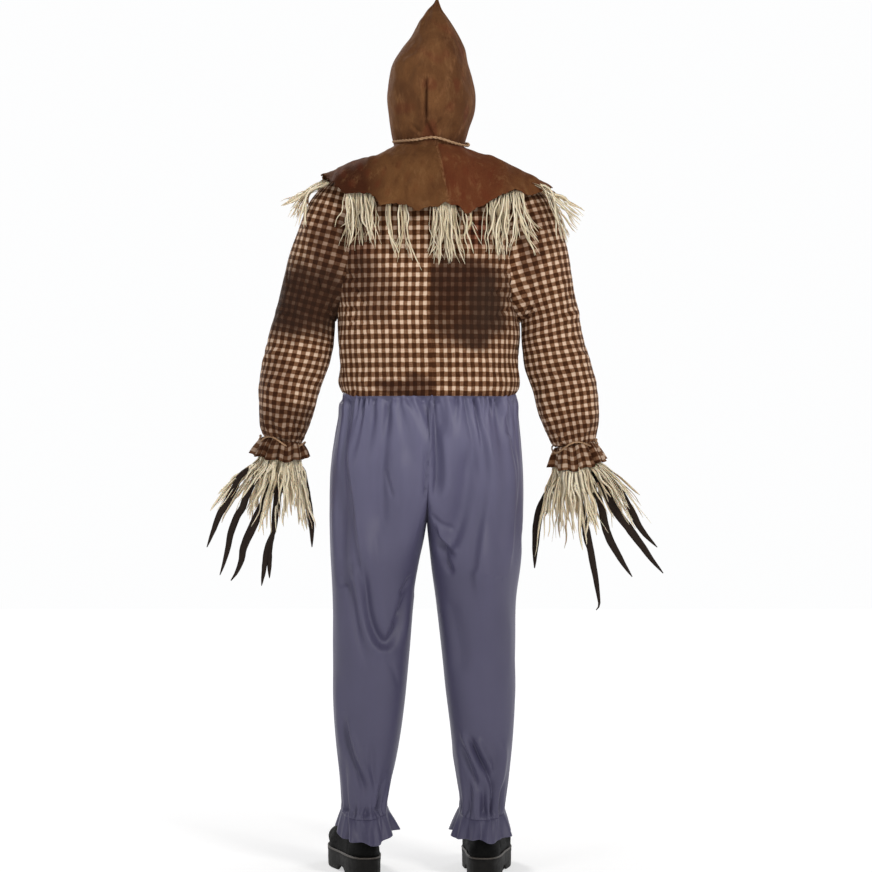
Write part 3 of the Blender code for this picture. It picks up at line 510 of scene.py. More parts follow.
def sateen_material():
    """Slate-purple sateen, with a soft sheen along its folds, and painted shade that darkens it towards the ankles."""
    made, tree, shader = new_material(
        "trouser_sateen", 0.52, sheen=0.10, sheen_tint=srgb(190, 188, 215), specular=0.42
    )
    place = object_place(tree)
    soft = noise(tree, place, 5.0, 3.0)
    streak = noise(tree, stretched(tree, place, (60, 60, 5)), 1.0, 3.0)
    # Painted shade: upper and lower are lit and shaded tones of the same cloth, and the legs darken from 0.98 m down
    # to 0.62 m as if less light reached them.
    upper = mix(tree, spread(tree, soft, 0.3, 0.7), srgb(84, 82, 108), srgb(95, 92, 118))
    lower = mix(tree, spread(tree, soft, 0.3, 0.7), srgb(64, 61, 84), srgb(72, 69, 93))
    height = node(tree, "ShaderNodeSeparateXYZ", {0: place}).outputs["Z"]
    colour = mix(tree, spread(tree, height, 0.62, 0.98), lower, upper)
    colour = mix(tree, spread(tree, streak, 0.35, 0.75, 0.0, 0.22), colour, srgb(64, 62, 82))
    tree.links.new(colour, shader.inputs["Base Color"])
    fine = noise(tree, stretched(tree, place, (2200, 2200, 900)), 1.0, 1.0)
    slub = noise(tree, stretched(tree, place, (26, 26, 9)), 1.0, 3.0)
    height = maths(tree, "ADD", maths(tree, "MULTIPLY", fine, 0.12), maths(tree, "MULTIPLY", slub, 0.5))
    add_bump(tree, shader, height, 0.30, 0.0012)
    rough = spread(tree, soft, 0.2, 0.8, 0.46, 0.60)
    tree.links.new(rough, shader.inputs["Roughness"])
    return made


def suede_material(name, light, dark, red, grain=1.0):
    """Brushed sackcloth. tint holds the share of dark (darker cloth, and on the hood painted shade), of red, and of
    lighter wear.
    """
    made, tree, shader = new_material(name, 0.93, sheen=0.12, sheen_tint=srgb(180, 120, 80), specular=0.10)
    place = object_place(tree)
    cloud = noise(tree, place, 16.0, 5.0, 0.6)
    streak = noise(tree, stretched(tree, place, (210, 210, 60)), 1.0, 3.0)
    fine = noise(tree, place, 620.0, 3.0, 0.7)
    shade, rust, wear = tint_channels(tree)[:3]
    smear = noise(tree, stretched(tree, place, (60, 60, 17)), 1.0, 5.0, 0.7)
    colour = mix(tree, spread(tree, cloud, 0.30, 0.70, 0.0, 0.42), light, dark)
    colour = mix(tree, spread(tree, smear, 0.52, 0.72, 0.0, 0.55), colour, dark)
    colour = mix(tree, shade, colour, dark)
    colour = mix(tree, rust, colour, red)
    colour = mix(tree, spread(tree, smear, 0.30, 0.46, 0.30, 0.0), colour, srgb(132, 96, 62))
    worn = maths(tree, "MULTIPLY", wear, spread(tree, streak, 0.40, 0.66), clamp=True)
    colour = mix(tree, worn, colour, srgb(140, 98, 66))
    speck = spread(tree, fine, 0.36, 0.64, 0.86, 1.10)
    bright = node(tree, "ShaderNodeHueSaturation", {"Color": colour, "Value": speck}).outputs["Color"]
    tree.links.new(bright, shader.inputs["Base Color"])
    height = maths(tree, "ADD", fine, maths(tree, "MULTIPLY", streak, 0.8))
    height = maths(tree, "ADD", height, maths(tree, "MULTIPLY", cloud, 1.6))
    add_bump(tree, shader, height, 0.5 * grain, 0.0016)
    return made


def sacking_material():
    """Coarse open sacking for the face, with slubs in its thread."""
    made, tree, shader = new_material(
        "mask_sacking", 0.92, sheen=0.12, sheen_tint=srgb(220, 190, 150), specular=0.2
    )
    place = cloth_place(tree)
    threads = weave(tree, place, 0.0024)
    slub = noise(tree, stretched(tree, place, (50, 900, 1)), 1.0, 3.0)
    cloud = noise(tree, place, 18.0, 4.0)
    colour = mix(tree, spread(tree, cloud, 0.3, 0.7), srgb(204, 172, 130), srgb(180, 146, 106))
    colour = mix(tree, spread(tree, threads, 0.15, 0.85, 0.35, 1.0), srgb(104, 76, 48), colour)
    shade = tint_channels(tree)[0]
    # The tint darkens the sacking: painted shade in the eye hollows, and darker blotches.
    colour = mix(tree, shade, colour, srgb(70, 48, 30))
    tree.links.new(colour, shader.inputs["Base Color"])
    add_bump(tree, shader, maths(tree, "ADD", threads, maths(tree, "MULTIPLY", slub, 0.6)), 0.7, 0.0011)
    return made


def raffia_material():
    """Dry raffia, with fine grain along each strand. tint holds the strand's tone and how near its root it is, for
    painted shade that darkens each strand towards its root.
    """
    made, tree, shader = new_material("raffia_strand", 0.60, specular=0.35)
    tone, root = tint_channels(tree)[:2]
    place = cloth_place(tree)
    grain = noise(tree, stretched(tree, place, (2600, 30, 1)), 1.0, 2.0)
    colour = mix(tree, tone, srgb(188, 168, 132), srgb(240, 228, 203))
    colour = mix(tree, spread(tree, grain, 0.35, 0.7, 0.0, 0.35), colour, srgb(168, 146, 104))
    # Painted shade near the root, where the strands go in under the cape and the wrist cord.
    colour = mix(tree, maths(tree, "MULTIPLY", root, 0.45), colour, srgb(120, 98, 66))
    tree.links.new(colour, shader.inputs["Base Color"])
    shader.inputs["Subsurface Weight"].default_value = 0.06
    shader.inputs["Subsurface Scale"].default_value = 0.004
    add_bump(tree, shader, grain, 0.35, 0.0006)
    return made


def fibre_material(name, light, dark, roughness=0.9, scale=900.0, relief=0.0007):
    """Twisted plant fibre or coarse dark cloth, depending on its colours."""
    made, tree, shader = new_material(name, roughness, sheen=0.08, sheen_tint=light, specular=0.25)
    place = object_place(tree)
    fine = noise(tree, place, scale, 3.0, 0.65)
    cloud = noise(tree, place, scale / 24, 3.0)
    colour = mix(tree, spread(tree, fine, 0.3, 0.7), dark, light)
    colour = mix(tree, spread(tree, cloud, 0.4, 0.75, 0.0, 0.5), colour, dark)
    tree.links.new(colour, shader.inputs["Base Color"])
    add_bump(tree, shader, fine, 0.7, relief)
    return made


def plain_material(
    name, colour, second, roughness, metallic=0.0, scale=60.0, relief=0.0003, strength=0.3, specular=0.5
):
    """A finish with slight changes of tone and roughness, for metal, rubber, leather and plastic."""
    made, tree, shader = new_material(name, roughness, metallic, specular=specular)
    place = object_place(tree)
    cloud = noise(tree, place, scale, 5.0, 0.6)
    tree.links.new(mix(tree, spread(tree, cloud, 0.3, 0.7), colour, second), shader.inputs["Base Color"])
    rough = spread(tree, cloud, 0.3, 0.7, roughness - 0.07, roughness + 0.07)
    tree.links.new(rough, shader.inputs["Roughness"])
    fine = noise(tree, place, scale * 14, 3.0)
    add_bump(tree, shader, maths(tree, "ADD", cloud, maths(tree, "MULTIPLY", fine, 0.5)), strength, relief)
    return made


M = {
    "gingham": gingham_material(),
    "trouser_cloth": sateen_material(),
    "hood": suede_material("hood_suede", srgb(100, 66, 39), srgb(66, 38, 21), srgb(84, 41, 25)),
    "cape": suede_material("cape_suede", srgb(101, 67, 38), srgb(58, 28, 13), srgb(86, 37, 20)),
    "mask_cloth": sacking_material(),
    "raffia": raffia_material(),
    "cord": fibre_material("jute_cord", srgb(186, 154, 122), srgb(128, 94, 64)),
    "claw_cloth": fibre_material("claw_felt", srgb(44, 30, 22), srgb(20, 13, 8), scale=420.0, relief=0.0012),
    "boot_leather": plain_material(
        "boot_suede", srgb(7, 7, 6), srgb(3, 3, 3), 0.80, scale=300.0, relief=0.0005, strength=0.6, specular=0.12
    ),
    "boot_trim": plain_material("boot_trim", srgb(32, 31, 30), srgb(20, 19, 18), 0.42, scale=120.0),
    "sole_rubber": plain_material(
        "sole_rubber_worn", srgb(17, 15, 13), srgb(10, 9, 8), 0.70, scale=80.0, relief=0.0006, strength=0.4,
        specular=0.18
    ),
    "welt": plain_material("welt_thread", srgb(78, 70, 62), srgb(46, 41, 37), 0.6, scale=500.0),
    "steel": plain_material("tube_steel", srgb(150, 151, 155), srgb(124, 125, 130), 0.36, 1.0, 90.0),
    "zinc": plain_material("bolt_zinc", srgb(196, 196, 190), srgb(170, 170, 166), 0.30, 1.0, 200.0),
    "bush_plastic": plain_material("bush_nylon", srgb(222, 220, 210), srgb(205, 203, 193), 0.45, scale=150.0),
    "stuffing": fibre_material(
        "fibre_wadding", srgb(226, 220, 204), srgb(196, 188, 168), scale=160.0, relief=0.002
    ),
    "button": plain_material("horn_button", srgb(52, 36, 26), srgb(26, 17, 12), 0.24, scale=260.0),
    "thread": fibre_material("black_thread", srgb(44, 34, 28), srgb(20, 15, 12), scale=1500.0, relief=0.0003),
}


def finish(obj, material, body):
    """Gives a piece its look, and lets it ride on a body."""
    obj.data.materials.append(M[material])
    if body:
        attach(obj, body)
    return obj


# ---------------------------------------------------------------- camera, lights and floor

CAMERA_DISTANCE = 6.0
VIEW_WIDTH = 1.8312
VIEW_CENTRE = (-0.0168, 0.9114)


WARM, COOL = (1.0, 0.985, 0.96), (0.97, 0.985, 1.0)
# Each lamp's name, place, size in metres, power in watts and colour. Two light the back and two the front.
LAMPS = [
    ("key", (-1.9, 3.4, 3.1), 0.9, 16, WARM),
    ("fill", (2.4, 3.5, 2.6), 1.4, 6, COOL),
    ("front_key", (1.9, -3.4, 3.1), 0.9, 20, WARM),
    ("front_fill", (-2.4, -3.5, 2.6), 1.4, 8, COOL),
]
LAMP_SPREAD, LAMP_AIM_Z, FLOOR_HALF = 72, 1.35, 9


def studio():
    scene = bpy.context.scene
    data = bpy.data.cameras.new("camera")
    data.sensor_width = 36
    data.lens = 36 * CAMERA_DISTANCE / VIEW_WIDTH
    camera = bpy.data.objects.new("camera", data)
    camera.location = (VIEW_CENTRE[0], CAMERA_DISTANCE, VIEW_CENTRE[1])
    camera.rotation_euler = (math.pi / 2, 0, math.pi)
    scene.collection.objects.link(camera)
    scene.camera = camera

    world = bpy.data.worlds.new("studio")
    world.use_nodes = True
    tree = world.node_tree
    background = tree.nodes["Background"]
    ray = node(tree, "ShaderNodeTexCoord").outputs["Generated"]
    height = node(tree, "ShaderNodeSeparateXYZ", {"Vector": ray}).outputs["Z"]
    above = spread(tree, maths(tree, "ABSOLUTE", height), 0.17, 0.42)
    colour = mix(tree, above, (0.985, 0.987, 0.99, 1), (0.20, 0.20, 0.205, 1))
    tree.links.new(colour, background.inputs["Color"])
    scene.world = world
    scene.view_settings.view_transform = "Standard"

    for name, place, size, power, colour in LAMPS:
        lamp = bpy.data.lights.new(name, "AREA")
        lamp.size = size
        lamp.energy = power
        lamp.color = colour
        lamp.spread = math.radians(LAMP_SPREAD)
        obj = bpy.data.objects.new(name, lamp)
        obj.location = place
        aim = Vector((0, 0, LAMP_AIM_Z)) - Vector(place)
        obj.rotation_euler = aim.to_track_quat("-Z", "Y").to_euler()
        scene.collection.objects.link(obj)

    far = FLOOR_HALF
    corners = [(-far, -far, 0), (far, -far, 0), (far, far, 0), (-far, far, 0)]
    floor = make_mesh("floor", corners, [(0, 1, 2, 3)], smooth=False)
    floor.location.z = FLOOR
    glowing_floor, tree, shader = new_material("studio_floor", 0.9, specular=0.0)
    place = object_place(tree)
    tone = noise(tree, place, 3.0)
    tree.links.new(mix(tree, tone, srgb(206, 206, 206), srgb(212, 212, 212)), shader.inputs["Base Color"])
    # Painted light: the floor glows, its emission rising from 0.50 near the figure to 0.88 beyond 2.6 m, so that it
    # reads white and also lights the figure from below.
    away = node(tree, "ShaderNodeVectorMath", {0: place}, operation="LENGTH").outputs["Value"]
    shader.inputs["Emission Color"].default_value = (1, 1, 1, 1)
    tree.links.new(spread(tree, away, 0.35, 2.6, 0.50, 0.88), shader.inputs["Emission Strength"])
    floor.data.materials.append(glowing_floor)


# ---------------------------------------------------------------- cords

NECK_CORD = 0.006
WRIST_CORD = 0.005
TAIL_ROUTE = [
    (0.006, -0.0938, 1.5285),
    (0.009, -0.1010, 1.5120),
    (0.014, -0.1095, 1.4900),
    (0.020, -0.1225, 1.4600),
    (0.024, -0.1345, 1.4250),
    (0.026, -0.1425, 1.3950),
]


def neck_cord():
    turns = np.linspace(0, TAU, 72, endpoint=False)
    c, s = np.cos(turns), np.sin(turns)
    behind = ease((s + 0.70) / 1.30)
    height = 1.532 * (1 - behind) + (1.5215 + 0.0088 * np.exp(-(((c + 0.10) / 0.4) ** 2)) + 0.0058 * c) * behind
    ring = np.stack([-0.0065 + 0.0790 * c, -0.001 + 0.0875 * s, height], axis=1)
    cord = finish(rope("neck_cord_twist", ring, NECK_CORD, closed=True), "cord", "torso")
    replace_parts(cord, "neck_cord")

    turns = np.linspace(0, TAU, 60, endpoint=False)
    loop = np.stack(
        [
            0.0075 * (np.sin(turns) + 1.3 * np.sin(2 * turns)), -0.0945 + 0.0042 * np.sin(3 * turns),
            1.5310 + 0.0062 * (np.cos(turns) - 1.3 * np.cos(2 * turns))
        ],
        axis=1,
    )
    finish(rope("neck_cord_knot", loop, NECK_CORD * 0.85, closed=True), "cord", "torso")

    for side, sign in SIDES.items():
        route = smooth_path([(sign * x, y, z) for x, y, z in TAIL_ROUTE], 40)
        tail = finish(rope(f"neck_cord_{side}_end", route, NECK_CORD), "cord", "torso")
        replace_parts(tail, f"neck_cord_{side}_tail")
        end = route[-1]
        turns = np.linspace(0, TAU, 24, endpoint=False)
        wrap = np.stack(
            [end[0] + 0.0034 * np.cos(turns), end[1] + 0.0034 * np.sin(turns), end[2] + 0.003 * np.sin(2 * turns)],
            axis=1
        )
        knot = finish(rope(f"{side}_tail_knot", wrap, NECK_CORD * 0.8, closed=True), "cord", "torso")


# ---------------------------------------------------------------- body cloth

# Height, half width, half depth and centre x of the shirt's body.
SHIRT_RINGS = [
    (0.994, 0.1730, 0.1140, -0.0030),
    (0.999, 0.1790, 0.1200, -0.0030),
    (1.004, 0.1820, 0.1225, -0.0030),
    (1.060, 0.1860, 0.1270, -0.0022),
    (1.110, 0.1885, 0.1290, -0.0005),
    (1.150, 0.1895, 0.1310, 0.0010),
    (1.200, 0.1905, 0.1310, 0.0005),
    (1.250, 0.1920, 0.1290, -0.0005),
    (1.300, 0.1940, 0.1250, -0.0015),
    (1.340, 0.1950, 0.1180, -0.0015),
    (1.375, 0.1930, 0.1090, -0.0015),
    (1.410, 0.1820, 0.0980, -0.0015),
    (1.445, 0.1520, 0.0830, -0.0015),
    (1.475, 0.1080, 0.0680, -0.0015),
    (1.505, 0.0620, 0.0570, -0.0015),
]
SHIRT_CENTRE_X = -0.0015
BACK_SEAM_X = -0.008
# Stains seen on the back: centre x and z, half sizes, and the strength of smoke, rust and fading.
SHIRT_STAINS = [
    (-0.082, 1.188, 0.098, 0.096, 1.00, 0.0, 0.0),
    (-0.060, 1.235, 0.075, 0.050, 0.90, 0.25, 0.15),
    (-0.118, 1.185, 0.034, 0.062, 0.90, 0.0, 0.50),
    (-0.098, 1.125, 0.040, 0.036, 0.90, 0.0, 0.30),
    (-0.107, 1.335, 0.024, 0.032, 0.10, 0.95, 0.0),
    (0.158, 1.245, 0.062, 0.062, 0.70, 0.15, 0.0),
    (0.165, 1.330, 0.060, 0.060, 0.40, 0.60, 0.0),
    (0.105, 1.200, 0.040, 0.060, 0.40, 0.15, 0.0),
    (0.045, 1.012, 0.066, 0.024, 0.75, 0.35, 0.0),
]
LEFT_SLEEVE_STAINS = [
    (0.262, 1.195, 0.115, 0.088, 1.00, 0.0, 0.30),
    (0.285, 1.175, 0.060, 0.066, 1.00, 0.2, 0.35),
    (0.200, 1.300, 0.055, 0.075, 0.65, 0.25, 0.0),
    (0.320, 1.020, 0.040, 0.080, 0.30, 0.2, 0.0),
    (0.300, 0.935, 0.090, 0.050, 0.55, 0.1, 0.0),
]
RIGHT_SLEEVE_STAINS = [
    (-0.215, 1.310, 0.030, 0.080, 0.40, 0.25, 0.0),
    (-0.230, 1.180, 0.040, 0.070, 0.15, 0.05, 0.0),
    (-0.275, 1.010, 0.040, 0.060, 0.12, 0.05, 0.0),
    (-0.310, 0.925, 0.080, 0.035, 0.25, 0.1, 0.0),
]


def stain_tint(points, stains, rng, front=0.35):
    """Smoke, rust and fading at each point, weaker on the front, where fewer stains are assumed."""
    x, y, z = points[..., 0], points[..., 1], points[..., 2]
    ragged_x = 0.006 * waves(rng, x + y, z, 0.060)
    ragged_z = 0.006 * waves(rng, x - y, z, 0.060)
    strength = front + (1 - front) * ease((y + 0.03) / 0.06)
    tint = np.zeros(points.shape[:2] + (4,))
    for cx, cz, wide, high, smoke, rust, fade in stains:
        far = np.abs((x - cx + ragged_x) / wide) ** 2.7 + np.abs((z - cz + ragged_z) / high) ** 2.7
        share = strength * ease((1.55 - far) / 1.5)
        for k, amount in enumerate((smoke, rust, fade)):
            tint[..., k] = np.maximum(tint[..., k], amount * share)
    tint[..., 0] = np.clip(tint[..., 0] + 0.06 * np.clip(waves(rng, x + y, z, 0.12), 0, 1), 0, 1)
    tint[..., 3] = 1
    return tint


def random_creases(rng, s, z, box, count, length, width, depth, lean):
    """Short creases and ridges anywhere in box = (low s, high s, low z, high z), leaning lean radians from upright."""
    total = np.zeros(s.shape)
    for _ in range(count):
        start_s, start_z = rng.uniform(box[0], box[1]), rng.uniform(box[2], box[3])
        turn = lean + rng.uniform(-0.45, 0.45)
        reach = length * rng.uniform(0.5, 1.5)
        end = (start_s + reach * math.sin(turn), start_z - reach * math.cos(turn))
        deep = depth * rng.uniform(0.4, 1.3) * rng.choice((-1, -1, 1))
        total += crease(s, z, (start_s, start_z), end, width * rng.uniform(0.6, 1.6), deep)
    return total


ACROSS, ALONG = 0.0180 / 0.0160, 0.0180 / 0.0195


def shirt_body():
    rng = random.Random(11)
    heights = np.concatenate([np.linspace(0.994, 1.03, 16), np.arange(1.033, 1.506, 0.0034)])
    half_x, half_y, middle = profile(SHIRT_RINGS, heights)
    columns = 420
    lead = 0.25 - (BACK_SEAM_X - SHIRT_CENTRE_X) / 1.0
    turns = lead + np.arange(columns) / columns
    x, y = superellipse(half_x, half_y, 2.6, turns)
    girth = np.hypot(np.diff(x, axis=1, append=x[:, :1]), np.diff(y, axis=1, append=y[:, :1])).sum(axis=1)[:, None]
    share = np.arange(columns) / columns
    signed = np.where(share < 0.5, share, share - 1)[None, :] * girth
    z = np.broadcast_to(heights[:, None], x.shape).copy()
    points = np.stack([x + middle[:, None], y, z], axis=2)
    normal = grid_normals(points, True)
    xs = points[..., 0]
    back = ease((points[..., 1] + 0.02) / 0.05)

    relief = gathers(rng, np.mod(signed, girth.max()), z - 1.0, girth.max(), 58, 0.0019, 0.0055, 0.034)
    relief += 0.0022 * waves(rng, signed, z, 0.11) + 0.0008 * waves(rng, signed, z, 0.04)
    relief += random_creases(rng, signed, z, (-0.45, 0.45, 1.02, 1.38), 46, 0.055, 0.0075, 0.0022, 0.5)
    relief += random_creases(rng, signed, z, (-0.45, 0.45, 1.02, 1.38), 34, 0.045, 0.0060, 0.0018, -0.7)
    relief += random_creases(rng, signed, z, (-0.45, 0.45, 1.01, 1.40), 110, 0.032, 0.0034, 0.0015, 0.3)
    for side in (1, -1):
        for k in range(9):
            at = side * rng.uniform(0.150, 0.186), rng.uniform(1.13, 1.26)
            to = at[0] - side * rng.uniform(0.020, 0.055), at[1] + rng.uniform(-0.030, 0.012)
            relief += back * crease(xs, z, at, to, 0.0036, -0.0036)
    relief += back * crease(xs, z, (-0.004, 1.00), (-0.012, 1.42), 0.0030, -0.0016)
    relief += back * crease(xs, z, (0.003, 1.00), (-0.005, 1.42), 0.0042, 0.0011)
    for side, top, foot in ((1, (0.150, 1.30), (0.128, 1.12)), (-1, (-0.155, 1.30), (-0.120, 1.10))):
        for start, end, wide_by, high in (
            (top, foot, 0.010, -0.004),
            ((side * 0.172, 1.18), (side * 0.125, 1.145), 0.0065, -0.0034),
            ((side * 0.176, 1.155), (side * 0.115, 1.10), 0.0070, -0.0030),
            ((side * 0.150, 1.045), (side * 0.110, 1.000), 0.0080, 0.0028),
        ):
            relief += back * crease(xs, z, start, end, wide_by, high)
    relief += back * crease(xs, z, (0.10, 1.04), (0.03, 1.006), 0.006, -0.0026)
    relief += back * crease(xs, z, (-0.06, 1.05), (-0.02, 1.004), 0.006, -0.0024)
    relief *= ease((z - 0.996) / 0.006)
    points = points + normal * relief[..., None]

    tint = stain_tint(points, SHIRT_STAINS, rng)
    left_panel = ((signed < -0.0005) & (points[..., 1] > 0))[..., None]
    printed = stain_tint(points, [row for row in SHIRT_STAINS if row[0] > 0], rng)
    tint = np.where(left_panel, printed, tint)
    u = np.concatenate([signed, 0 * girth], axis=1) * ACROSS
    u[:, columns // 2 :] -= 0.009
    v = np.concatenate([z, z[:, :1]], axis=1) * ALONG
    shirt = sheet_mesh("shirt_back_and_front", points, np.stack([u, v], axis=2), tint)
    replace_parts(finish(shirt, "gingham", "torso"), "shirt_body")


SLEEVE_RINGS = {
    # outer x and z, inner x and z, half depth, across the arm from the shoulder to the cuff's cord
    "left": [
        (0.128, 1.470, 0.128, 1.215, 0.074),
        (0.175, 1.459, 0.150, 1.200, 0.082),
        (0.214, 1.440, 0.165, 1.187, 0.086),
        (0.246, 1.408, 0.176, 1.175, 0.086),
        (0.269, 1.352, 0.185, 1.165, 0.081),
        (0.287, 1.302, 0.190, 1.157, 0.075),
        (0.302, 1.245, 0.193, 1.152, 0.070),
        (0.317, 1.182, 0.195, 1.150, 0.067),
        (0.3262, 1.149, 0.1967, 1.118, 0.066),
        (0.3340, 1.120, 0.1990, 1.098, 0.066),
        (0.3440, 1.078, 0.2090, 1.058, 0.066),
        (0.3528, 1.038, 0.2240, 1.018, 0.066),
        (0.3550, 0.988, 0.2390, 0.968, 0.062),
        (0.3535, 0.953, 0.2495, 0.936, 0.055),
        (0.3500, 0.929, 0.2580, 0.914, 0.047),
        (0.3440, 0.910, 0.2650, 0.897, 0.040),
    ],
    "right": [
        (0.128, 1.468, 0.128, 1.205, 0.074),
        (0.175, 1.456, 0.152, 1.185, 0.082),
        (0.213, 1.438, 0.168, 1.168, 0.086),
        (0.251, 1.408, 0.178, 1.158, 0.086),
        (0.277, 1.352, 0.185, 1.153, 0.081),
        (0.293, 1.302, 0.189, 1.150, 0.075),
        (0.303, 1.245, 0.192, 1.149, 0.070),
        (0.3135, 1.180, 0.1945, 1.149, 0.067),
        (0.3190, 1.149, 0.1960, 1.119, 0.066),
        (0.3260, 1.118, 0.1975, 1.096, 0.066),
        (0.3380, 1.076, 0.2030, 1.056, 0.066),
        (0.3490, 1.037, 0.2170, 1.017, 0.066),
        (0.3555, 0.982, 0.2320, 0.962, 0.062),
        (0.3565, 0.946, 0.2450, 0.928, 0.056),
        (0.3530, 0.921, 0.2570, 0.904, 0.047),
        (0.3490, 0.900, 0.2670, 0.888, 0.040),
    ],
}
SLEEVE_SPLIT = 7
SLEEVE_CHECK = 0.0180 / 0.0168
ARM_COLUMNS = 170


def sleeve_points(side, sign, rng):
    """The sleeve's grid without its cuff, the row where its two pieces meet, and its cloth coordinates."""
    rings = np.array(SLEEVE_RINGS[side])
    outer, inner, depth = rings[:, :2], rings[:, 2:4], rings[:, 4]
    middle = (outer + inner) / 2
    station = np.concatenate([[0], np.cumsum(np.hypot(*np.diff(middle + 0.5 * (outer - middle), axis=0).T))])
    rows = [(s, *a, *b, d) for s, a, b, d in zip(station, outer, inner, depth)]
    first = np.linspace(0, station[SLEEVE_SPLIT], 92)
    second = np.linspace(station[SLEEVE_SPLIT], station[-1], 96)[1:]
    at = np.concatenate([first, second])
    ox, oz, ix, iz, hd = profile(rows, at)
    turns = np.arange(ARM_COLUMNS) / ARM_COLUMNS
    half = np.hypot(ox - ix, oz - iz) / 2
    ring_x, ring_y = superellipse(half, hd, 2.12, 0.5 + turns)
    ring_x *= -1
    share = -ring_x / half[:, None]
    x = (ox + ix)[:, None] / 2 + share * (ox - ix)[:, None] / 2
    z = (oz + iz)[:, None] / 2 + share * (oz - iz)[:, None] / 2
    y = ring_y
    points = np.stack([sign * x, y, z], axis=2)
    normal = grid_normals(points, True) * sign
    girth = np.hypot(
        np.diff(ring_x, axis=1, append=ring_x[:, :1]), np.diff(ring_y, axis=1, append=ring_y[:, :1])
    ).sum(axis=1)
    along = np.broadcast_to(at[:, None], x.shape)
    s = (turns[None, :] - 0.5) * girth[:, None]
    cuff = at[-1]
    crown = station[4]
    elbow = station[9]
    span = girth[-20]

    relief = gathers(rng, np.mod(s, span), cuff - along, span, 26, 0.0056, 0.0046, 0.070)
    relief += 0.0026 * waves(rng, s, along, 0.10) + 0.0009 * waves(rng, s, along, 0.035)
    relief += random_creases(rng, s, -along, (-0.2, 0.2, -cuff, -crown), 34, 0.055, 0.0070, 0.0030, 0.75)
    relief += random_creases(rng, s, -along, (-0.2, 0.2, -cuff, -crown), 26, 0.050, 0.0060, 0.0026, -0.75)
    relief += random_creases(rng, s, -along, (-0.2, 0.2, -cuff, -crown), 110, 0.034, 0.0038, 0.0026, 0.4)
    for k, (dz, lean) in enumerate(((-0.020, 0.9), (0.004, -0.6), (0.024, 0.8), (0.046, -0.8), (-0.046, 0.5))):
        centre = -(elbow + dz)
        reach = 0.055
        start = (-0.12 + 0.03 * k, centre + 0.5 * reach * lean)
        relief += crease(s, -along, start, (start[0] + 0.10, centre - 0.5 * reach * lean), 0.0085, -0.0050)
        relief += crease(
            s, -along, (start[0], start[1] + 0.014), (start[0] + 0.10, centre - 0.5 * reach * lean + 0.014), 0.0085,
            0.0034
        )
    relief += gathers(
        rng, np.mod(s, girth[60]), np.clip(along - station[2], 0, None), girth[60], 22, 0.0022, 0.0060, 0.06
    )
    relief *= ease((cuff - along) / 0.010 + 0.15) * (1 - 0.75 * np.abs(share) ** 5)
    points = points + normal * relief[..., None]
    return points, len(first) - 1, sleeve_cloth(sign, points, rings, at, station)


def sleeve_cloth(sign, points, rings, at, station):
    """Cloth coordinates that run along the arm's own line, also where the rings fan out over the shoulder."""
    down = np.array([0.253, -0.967])
    over = np.array([0.967, 0.253])
    pivot = np.array([0.200, 1.380])
    seam = rings[SLEEVE_SPLIT]
    seam_middle = (seam[:2] + seam[2:4]) / 2 - pivot
    place = np.stack([sign * points[..., 0], points[..., 2]], axis=2) - pivot
    along = place @ down
    reach = float(seam_middle @ down)
    w0 = (seam_middle @ over) * np.clip(along / reach, 0, 1)
    half = float(np.hypot(*(seam[:2] - seam[2:4]))) / 2
    theta = np.arctan2((place @ over - w0) / half, points[..., 1] / seam[4])
    middle = (rings[:, :2] + rings[:, 2:4]) / 2
    mx, mz = profile([(k, *m) for k, m in zip(station, middle)], at)
    lower_half = np.hypot(*(rings[:, :2] - rings[:, 2:4]).T) / 2
    lh, ld = profile([(k, a, b) for k, a, b in zip(station, lower_half, rings[:, 4])], at)
    tilt = np.array([0.986, 0.164])
    offset = (np.stack([sign * points[..., 0] - mx[:, None], points[..., 2] - mz[:, None]], axis=2)) @ tilt
    theta_low = np.arctan2(offset / lh[:, None], points[..., 1] / ld[:, None])
    below = ease((at - station[SLEEVE_SPLIT]) / 0.03)[:, None]
    theta = np.mod(theta + math.pi / 2, TAU) - math.pi / 2
    theta_low = np.mod(theta_low + math.pi / 2, TAU) - math.pi / 2
    split_at = station[SLEEVE_SPLIT]
    v_low = reach + (at - split_at)[:, None] + 0 * theta
    theta = np.where(np.abs(theta - theta_low) > 3, theta_low, theta)
    theta = theta * (1 - below) + theta_low * below
    along = np.where(at[:, None] > split_at, v_low, along)
    theta = np.concatenate([theta, theta[:, :1] + TAU], axis=1)
    theta[:, 0] = np.where(theta[:, 0] > 3, theta[:, 0] - TAU, theta[:, 0])
    theta[:, -1] = theta[:, 0] + TAU
    along = np.concatenate([along, along[:, :1]], axis=1)
    return np.stack([sign * theta * 0.0640, -along], axis=2) * SLEEVE_CHECK


def forearm_axes(sign):
    """The elbow, the direction to the hand, and the two directions across the forearm."""
    elbow, wrist = np.array([sign * 0.268, 0, 1.120]), np.array([sign * 0.308, 0, 0.880])
    along = (wrist - elbow) / np.linalg.norm(wrist - elbow)
    across = np.array([-along[2], 0, along[0]])
    return elbow, along, across * sign, np.array([0, 1.0, 0])


